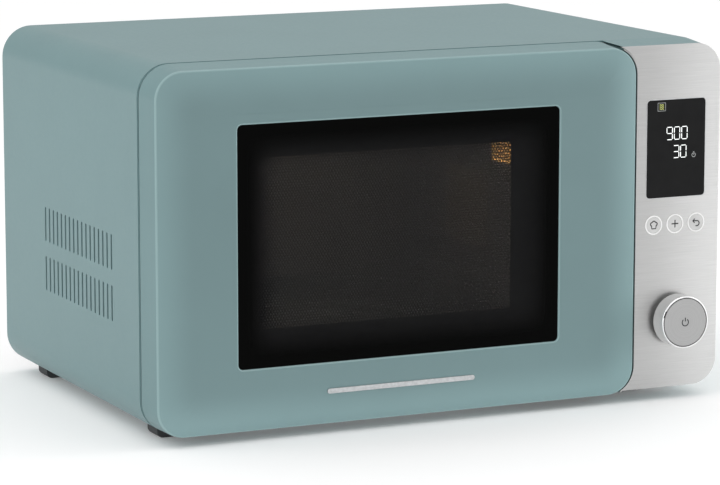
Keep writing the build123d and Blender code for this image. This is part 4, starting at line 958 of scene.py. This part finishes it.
def build_knob():
    front, back = KNOB_FRONT + MARK_RELIEF, depth_of(knob_high.y)
    inner = KNOB_R - RIM_WIDTH - 0.15
    profile = [
        (0.01, front + 6), (SHAFT_R, front + 6), (SHAFT_R, back), (HUB_R - 0.4, back), (HUB_R, back - 0.4),
        (HUB_R, SHOULDER), (KNOB_R - 0.5, SHOULDER), (KNOB_R - 0.12, SHOULDER - 0.12), (KNOB_R, SHOULDER - 0.5),
        (KNOB_R, front + 1.0), (KNOB_R - 0.06, front + 0.62), (KNOB_R - 0.25, front + 0.27),
        (KNOB_R - 0.6, front + 0.05), (KNOB_R - 0.9, front), (inner + 0.12, front), (inner, front + 0.12),
        (inner, front + 1.0), (0.01, front + 1.0)]
    lathe("knob_shell", KNOB_X, KNOB_Z, profile, knob_metal, "knob", "knob_metal", ("knob_body",))
    disc = inner - DISC_GAP
    face = [(0.01, front + 1.0), (disc, front + 1.0), (disc, front + 0.3), (disc - 0.06, front + 0.18),
            (disc - 0.25, front + 0.1), (0.01, front + 0.1)]
    lathe("knob_disc", KNOB_X, KNOB_Z, face, knob_disc_metal, "knob", "knob_metal", ("knob_face",))
    groove = [(disc + 0.06, front + 0.55), (inner - 0.06, front + 0.55), (inner - 0.06, front + 0.95),
              (disc + 0.06, front + 0.95)]
    lathe("knob_groove", KNOB_X, KNOB_Z, groove, ink, "knob", "dark_plastic", closed=True)
    build_knob_marks(front)


def build_knob_marks(front):
    """A power sign on the disc, and a dark mark on the rim: a painted reflection, which turns with the knob."""
    ring = stroke(arc_points(KNOB_X, KNOB_Z, POWER_R, 128, 412, 40), STROKE)
    bar = stroke([(KNOB_X, KNOB_Z + 0.7), (KNOB_X, KNOB_Z + POWER_R + 1.0)], STROKE)
    inlay("power_mark", (ring, bar), front + 0.1 - 0.06, 0.08, ink, "knob", "dark_plastic")
    # painted reflection: a dark arc on the rim, where something dark is mirrored
    rim_reflection = stroke(arc_points(KNOB_X, KNOB_Z, KNOB_R - 0.72, 150, 166, 10), STROKE)
    inlay("knob_index", (rim_reflection,), front - 0.001, 0.3, ink, "knob", "dark_plastic")


# ------------ buttons
BUTTON_R = 6.5
RING_R = 7.75
BUTTON_FACE = -0.4
BUTTON_STEPS = 72
STEM_R = 2.5
STEM_BACK = 14.4
ICON_STROKE = 0.95
PLUS_REACH = 3.1


def button_centres():
    places = {}
    for name in ("button_recipe", "button_plus", "button_back"):
        low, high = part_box(name)
        places[name] = (from_left((low.x + high.x) / 2), height_of((low.z + high.z) / 2))
    return places


def hat_lines(x, z):
    """A cook's hat: three round lobes over a straight band."""
    lobes = arc_points(x - 1.75, z + 0.9, 1.3, 250, 95, 8) + arc_points(x, z + 1.8, 1.5, 150, 30, 8)
    lobes += arc_points(x + 1.75, z + 0.9, 1.3, 85, -70, 8)
    return [lobes + [(x + 1.75, z - 2.8), (x - 1.75, z - 2.8)]]


def button_part(x, z, profile, closed=False):
    return skin([circle_ring(x, z, radius, depth, BUTTON_STEPS) for radius, depth in profile], closed)


def build_buttons():
    places = button_centres()
    bezel = [(BUTTON_R + 0.15, 1.5), (BUTTON_R + 0.15, -0.3), (BUTTON_R + 0.32, -0.46),
             (BUTTON_R + 0.6, -0.5), (RING_R - 0.4, -0.5), (RING_R - 0.12, -0.42), (RING_R, -0.2),
             (RING_R, 1.5)]
    cap = [(0.01, 0.6), (BUTTON_R, 0.6), (BUTTON_R, -0.1), (BUTTON_R - 0.08, -0.28),
           (BUTTON_R - 0.35, BUTTON_FACE), (0.01, BUTTON_FACE)]
    stem = [(0.01, STEM_BACK), (STEM_R, STEM_BACK), (STEM_R, 0.5), (0.01, 0.5)]
    ring_verts, ring_faces = [], []
    for name, (x, z) in places.items():
        join_on(ring_verts, ring_faces, *button_part(x, z, bezel, closed=True))
        verts, faces = button_part(x, z, cap)
        join_on(verts, faces, *button_part(x, z, stem))
        body = name.replace("button_", "") + "_button"
        piece(name + "_cap", verts, faces, button_plastic, body, "button_grey", (name,))
    piece("button_bezels", ring_verts, ring_faces, ring_plastic, "cabinet", "light_plastic",
          ("button_rings",))
    build_icons(places)


def build_icons(places):
    x, z = places["button_recipe"]
    hat = [stroke(line, ICON_STROKE, closed=True) for line in hat_lines(x, z)]
    x, z = places["button_plus"]
    cross = (stroke([(x - PLUS_REACH, z), (x + PLUS_REACH, z)], ICON_STROKE),
             stroke([(x, z - PLUS_REACH), (x, z + PLUS_REACH)], ICON_STROKE))
    x, z = places["button_back"]
    hook = [(x - 3.0, z + 1.1), (x + 0.8, z + 1.1)]
    hook += arc_points(x + 0.8, z - 0.95, 2.05, 80, -90, 10) + [(x - 0.4, z - 3.0)]
    head = [(x - 1.3, z + 2.8), (x - 3.0, z + 1.1), (x - 1.3, z - 0.6)]
    arrow = (stroke(hook, ICON_STROKE), stroke(head, ICON_STROKE))
    for name, bands in (("recipe", hat), ("plus", cross), ("back", arrow)):
        inlay(name + "_icon", bands, BUTTON_FACE - 0.05, 0.07, ink, name + "_button", "dark_plastic")


# ------------ display
# Column and level of each bar's two ends, on a grid of two columns and three levels.
SEGMENT_ENDS = {"a": (0, 2, 1, 2), "b": (1, 2, 1, 1), "c": (1, 1, 1, 0), "d": (0, 0, 1, 0),
                "e": (0, 1, 0, 0), "f": (0, 2, 0, 1), "g": (0, 1, 1, 1)}
SEGMENT_GAP = 0.45
SEGMENTS = {"0": "abcdef", "3": "abcdg", "9": "abcdfg"}
DIGIT_WIDTH = 5.0
DIGIT_STEP = 6.75
SEGMENT_WIDTH = 0.62
LIT_FRONT = -0.26
LIT_THICKNESS = 0.05
PANE_R = 3.0
RIM_GAP = 0.2
WATTS_X, WATTS_Z, WATTS_HEIGHT = 438.9, 202.7, 9.9
MINUTES_X, MINUTES_Z, MINUTES_HEIGHT = 445.1, 188.0, 9.7
DIAL_X, DIAL_Z, DIAL_R = 463.7, 189.3, 1.6
BADGE_LEFT, BADGE_RIGHT, BADGE_LOW, BADGE_HIGH = 430.4, 437.3, 226.0, 232.4
WAVE_LEFT = 431.9
WAVE_LEVELS = (227.6, 229.2, 230.8)


def segment_line(letter, x, z, width, height):
    """End points of one bar of a seven-segment digit, with a small gap at its ends."""
    columns = (x, x + width)
    levels = (z, z + height / 2, z + height)
    first, low, second, high = SEGMENT_ENDS[letter]
    along, up = (second - first) * SEGMENT_GAP, (high - low) * SEGMENT_GAP
    return [(columns[first] + along, levels[low] + up), (columns[second] - along, levels[high] - up)]


def digits(text, x, z, height, width, step):
    bands = []
    for place_number, digit in enumerate(text):
        for letter in SEGMENTS[digit]:
            line = segment_line(letter, x + place_number * step, z, width, height)
            bands.append(stroke(line, SEGMENT_WIDTH))
    return bands


def build_display():
    x0, x1, front, back, z0, z1 = span(display_low, display_high)
    layers = ((0, back), (0, front + 0.45), (0.12, front + 0.13), (0.45, front))
    verts, faces = skin(layered((x0, x1, z0, z1), PANE_R, layers))
    outline = ring_outline(x0 - RIM_GAP, x1 + RIM_GAP, z0 - RIM_GAP, z1 + RIM_GAP, PANE_R + RIM_GAP)
    inlay("display_rim", (stroke(outline, 0.45, closed=True),), -0.14, 0.16, aluminium, "cabinet",
          "brushed_panel")
    piece("display_pane", verts, faces, display_black, "cabinet", "tinted_glass", ("display_glass",))
    build_readout()


def build_readout():
    """Generic lit marks: two rows of digits, a small clock and a heating sign in a square."""
    readout = digits("900", WATTS_X, WATTS_Z, WATTS_HEIGHT, DIGIT_WIDTH, DIGIT_STEP)
    readout += digits("30", MINUTES_X, MINUTES_Z, MINUTES_HEIGHT, DIGIT_WIDTH, DIGIT_STEP - 0.2)
    dial = stroke(arc_points(DIAL_X, DIAL_Z, DIAL_R, 70, 430, 24), 0.45)
    hand = stroke([(DIAL_X, DIAL_Z), (DIAL_X, DIAL_Z + 1.2)], 0.4)
    crown = stroke([(DIAL_X - 0.6, DIAL_Z + 2.5), (DIAL_X + 0.6, DIAL_Z + 2.5)], 0.45)
    corners = [(BADGE_LEFT, BADGE_LOW), (BADGE_RIGHT, BADGE_LOW), (BADGE_RIGHT, BADGE_HIGH),
               (BADGE_LEFT, BADGE_HIGH)]
    square = stroke(corners, 0.5, closed=True)
    waves = []
    for level in WAVE_LEVELS:
        line = [(WAVE_LEFT + 0.43 * i, level + 0.2 * math.sin(i * math.pi / 2.4)) for i in range(10)]
        waves.append(stroke(line, 0.55))
    marks = (dial, hand, crown, square)
    rows = (("digits", readout, lit_white), ("marks", marks, lit_grey), ("waves", waves, lit_lime))
    for name, bands, mat in rows:
        inlay("readout_" + name, bands, LIT_FRONT, LIT_THICKNESS, mat, "cabinet")


# ------------ cavity lamp and vents
DIFFUSER_GAP, DIFFUSER_BACK = 1.2, 2.2
# depths of the painted-shade sheets behind the side vents
SHADE_SHEET_FRONT, SHADE_SHEET_BACK = 1.5, 2.4
VENT_FIELD = (79, 239, 72, 150)       # front, back, bottom and top


def build_lamp_diffuser():
    """Frosted plate between the bulb and the grille."""
    _, x, front, back, z0, z1 = span(*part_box("lamp_grille"))
    plate = (x + DIFFUSER_GAP, x + DIFFUSER_BACK, front - 1, back + 1, z0 - 1, z1 + 1)
    mesh = rounded_blocks("lamp_diffuser", (plate,), 0.3)
    finish_mesh("lamp_diffuser", mesh, diffuser_glass, "cabinet", "lamp_glass")


def build_vent_shade_sheets():
    """Dark sheets just inside each row of side vents: painted shade for the inside of the casing seen through
    them.
    """
    sheets = ((SHADE_SHEET_FRONT, SHADE_SHEET_BACK, *VENT_FIELD), (WIDTH - SHADE_SHEET_BACK, WIDTH - SHADE_SHEET_FRONT, *VENT_FIELD))
    finish_mesh("vent_gauze", rounded_blocks("vent_gauze", sheets, 0.2), gauze, "cabinet", "dark_plastic")


# ------------ carried-over CAD nodes
FINISH_GROUPS = (
    (zinc, ("base_plate", "rear_panel", "waveguide", "hinge_arms", "door_hinge_brackets")),
    (aluminium, ("magnetron", "high_voltage_capacitor")),
    (cavity_enamel, ("front_plate", "oven_cavity")),
    (grille_enamel, ("lamp_grille",)),
    (choke_enamel, ("door_choke_frame",)),
    (pane_glass, ("door_inner_pane",)),
    (tray_glass, ("glass_turntable",)),
    (dark_plastic, ("door_choke_cover", "door_rear_frame", "latch_slider", "latch_guide", "latch_bracket",
        "door_microswitches", "display_module", "mains_cable_gland", "button_switches")),
    (light_plastic, ("roller_ring", "roller_wheel_1", "roller_wheel_2", "roller_wheel_3", "turntable_coupler",
        "fan_blade", "fan_duct", "encoder_plunger")),
    (bright_steel, ("rear_screws", "door_screws", "latch_spring", "encoder_shaft", "fan_shaft",
        "knob_encoder", "thermal_cutout")),
    (laminated_steel, ("fan_motor", "turntable_motor", "high_voltage_transformer")),
    (board_green, ("control_board", "mains_filter_board")),
    (mica, ("waveguide_cover",)),
    (bulb_glass, ("cavity_lamp",)),
)
CAD_FINISHES = {name: mat for mat, names in FINISH_GROUPS for name in names}
# Nodes whose sharp edges are rounded, with the rounding's width in millimetres.
SOFTENED = (
    ("front_plate", 0.3), ("door_rear_frame", 0.4), ("door_choke_cover", 0.3), ("door_choke_frame", 0.3),
    ("rear_panel", 0.3), ("base_plate", 0.3), ("latch_slider", 0.3), ("roller_ring", 0.5),
    ("turntable_coupler", 0.4), ("roller_wheel_1", 0.5), ("roller_wheel_2", 0.5), ("roller_wheel_3", 0.5),
    ("magnetron", 0.4), ("waveguide", 0.3), ("fan_blade", 0.2), ("fan_duct", 0.4), ("hinge_arms", 0.3),
    ("door_hinge_brackets", 0.3), ("control_board", 0.2), ("mains_cable_gland", 0.4),
    ("high_voltage_transformer", 0.6), ("waveguide_cover", 0.2), ("rear_screws", 0.15),
)


def build_everything():
    build_door_skin()
    build_window()
    build_trim_bar()
    build_gap_seal()
    build_screen()
    build_knob()
    build_buttons()
    build_display()
    build_lamp_diffuser()
    refined("outer_casing", 0.35, casing_paint, "body_paint", "casing_wrap")
    refined("control_housing", 0.4, moulding_paint, "moulding_paint", "control_shell")
    refined("control_fascia", 0.45, steel, "brushed_panel", "steel_fascia")
    refined("feet", 0.4, rubber, "foot_rubber", "foot_bars")
    build_vent_shade_sheets()
    for name, bevel in SOFTENED:
        refined(name, bevel, CAD_FINISHES[name])


def finish_cad_nodes():
    for name, mat in CAD_FINISHES.items():
        mesh = frame["nodes"][name].data
        for index in range(len(mesh.materials)):
            mesh.materials[index] = mat


# ------------ studio
FLOOR_HALF = 25.0        # metres


def build_floor():
    mesh = bpy.data.meshes.new("floor")
    sides = ((-1, -1), (1, -1), (1, 1), (-1, 1))
    corners = [(x * FLOOR_HALF, y * FLOOR_HALF, 0) for x, y in sides]
    mesh.from_pydata(corners, [], [(0, 1, 2, 3)])
    floor = in_scene("floor", mesh)
    white = material("floor_white", Base_Color=(0.92, 0.92, 0.92, 1), Roughness=0.9, Specular_IOR_Level=0.1,
                     Emission_Color=(1, 1, 1, 1), Emission_Strength=0.11)
    mesh.materials.append(white)


WORLD_HORIZON = 0.27
WORLD_SIDES = 0.44
WORLD_TOP = 0.78


def build_world():
    """Soft white studio: brightest overhead and to the sides, darker ahead and behind."""
    world = bpy.data.worlds.new("studio")
    bpy.context.scene.world = world
    world.use_nodes = True
    split = node(world, "SeparateXYZ")
    link(world, node(world, "TexCoord").outputs["Generated"], split.inputs["Vector"])
    sideways = maths(world, "ABSOLUTE", split.outputs["X"])
    upward = maths(world, "MAXIMUM", split.outputs["Z"], 0.0)
    level = maths(world, "MULTIPLY_ADD", sideways, WORLD_SIDES, WORLD_HORIZON)
    level = maths(world, "MULTIPLY_ADD", upward, WORLD_TOP, level)
    choose = node(world, "Mix")
    choose.inputs[3].default_value = 1.0
    link(world, node(world, "LightPath").outputs["Is Camera Ray"], choose.inputs[0])
    link(world, level, choose.inputs[2])
    background = world.node_tree.nodes["Background"]
    link(world, choose.outputs[0], background.inputs["Strength"])
    background.inputs["Color"].default_value = (1.0, 1.0, 1.0, 1)


def area_light(name, place_at, target, width, height, power, colour=(1, 1, 1), glossy=True, diffuse=True):
    data = bpy.data.lights.new(name, "AREA")
    data.shape = "RECTANGLE"
    data.size = width
    data.size_y = height
    data.energy = power
    data.color = colour
    light = in_scene(name, data)
    light.location = place_at
    light.rotation_mode = "QUATERNION"
    light.rotation_quaternion = (Vector(target) - Vector(place_at)).to_track_quat("-Z", "Y")
    light.visible_camera = False
    light.visible_glossy = glossy
    light.visible_diffuse = diffuse


GLOW_COLOUR = (1.0, 0.78, 0.52)
FILL_COLOUR = (1.0, 0.86, 0.74)
FILL_PLACE = at(95, 120, 226)
FILL_TARGET = at(330, 190, 120)


def build_lights():
    """Each light has its name, place, target, width and height in metres, and power."""
    area_light("left_strip", (-1.7, -0.75, 0.75), (-0.2, -0.15, 0.15), 0.25, 1.3, 1.3)
    area_light("right_low", (1.3, -0.45, 0.30), (0.2, -0.15, 0.0), 0.4, 0.6, 4.5, glossy=False)
    area_light("corner_key", (-1.2, 0.05, 1.35), (-0.24, 0, 0.28), 0.5, 0.9, 3.4)
    area_light("left_gleam", (-1.6, -0.55, 0.6), (-0.2, -0.15, 0.15), 0.8, 1.4, 9.0, diffuse=False)
    area_light("top_gleam", (-0.1, -0.45, 1.8), (-0.1, -0.15, 0.28), 1.6, 0.8, 9.0, diffuse=False)
    area_light("right_gleam", (1.6, -0.6, 0.5), (0.15, -0.15, 0.15), 0.6, 1.2, 6.0, diffuse=False)
    area_light("floor_bounce", (-0.04, -0.195, 0.002), (-0.04, -0.195, 1.0), 0.44, 0.05, 0.045, glossy=False)
    lamp_low, lamp_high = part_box("lamp_grille")
    middle = (lamp_low + lamp_high) / 2
    inside = Vector((lamp_low.x - 2 * MM, middle.y, middle.z))
    area_light("cavity_glow", inside, inside + Vector((-1, 0, -0.25)), 0.048, 0.02, 0.09, GLOW_COLOUR)
    area_light("cavity_fill", FILL_PLACE, FILL_TARGET, 0.06, 0.06, 0.42, FILL_COLOUR, glossy=False)


CAMERA_PLACE = (-1.17187, -2.50355, 0.5822)
CAMERA_YAW = math.radians(25.05)
CAMERA_PITCH = math.radians(9.53)
CAMERA_LENS = 171.98


def build_camera():
    data = bpy.data.cameras.new("camera")
    data.lens = CAMERA_LENS
    data.sensor_width = 36.0
    data.clip_end = 100.0
    camera = in_scene("camera", data)
    camera.location = CAMERA_PLACE
    forward = Vector((math.sin(CAMERA_YAW) * math.cos(CAMERA_PITCH),
                      math.cos(CAMERA_YAW) * math.cos(CAMERA_PITCH), -math.sin(CAMERA_PITCH)))
    camera.rotation_mode = "QUATERNION"
    camera.rotation_quaternion = forward.to_track_quat("-Z", "Y")
    bpy.context.scene.camera = camera


build_camera()
build_world()
build_floor()
build_lights()
build_everything()
finish_cad_nodes()
bpy.context.scene.view_settings.view_transform = "Standard"
bpy.context.scene.view_settings.look = "None"
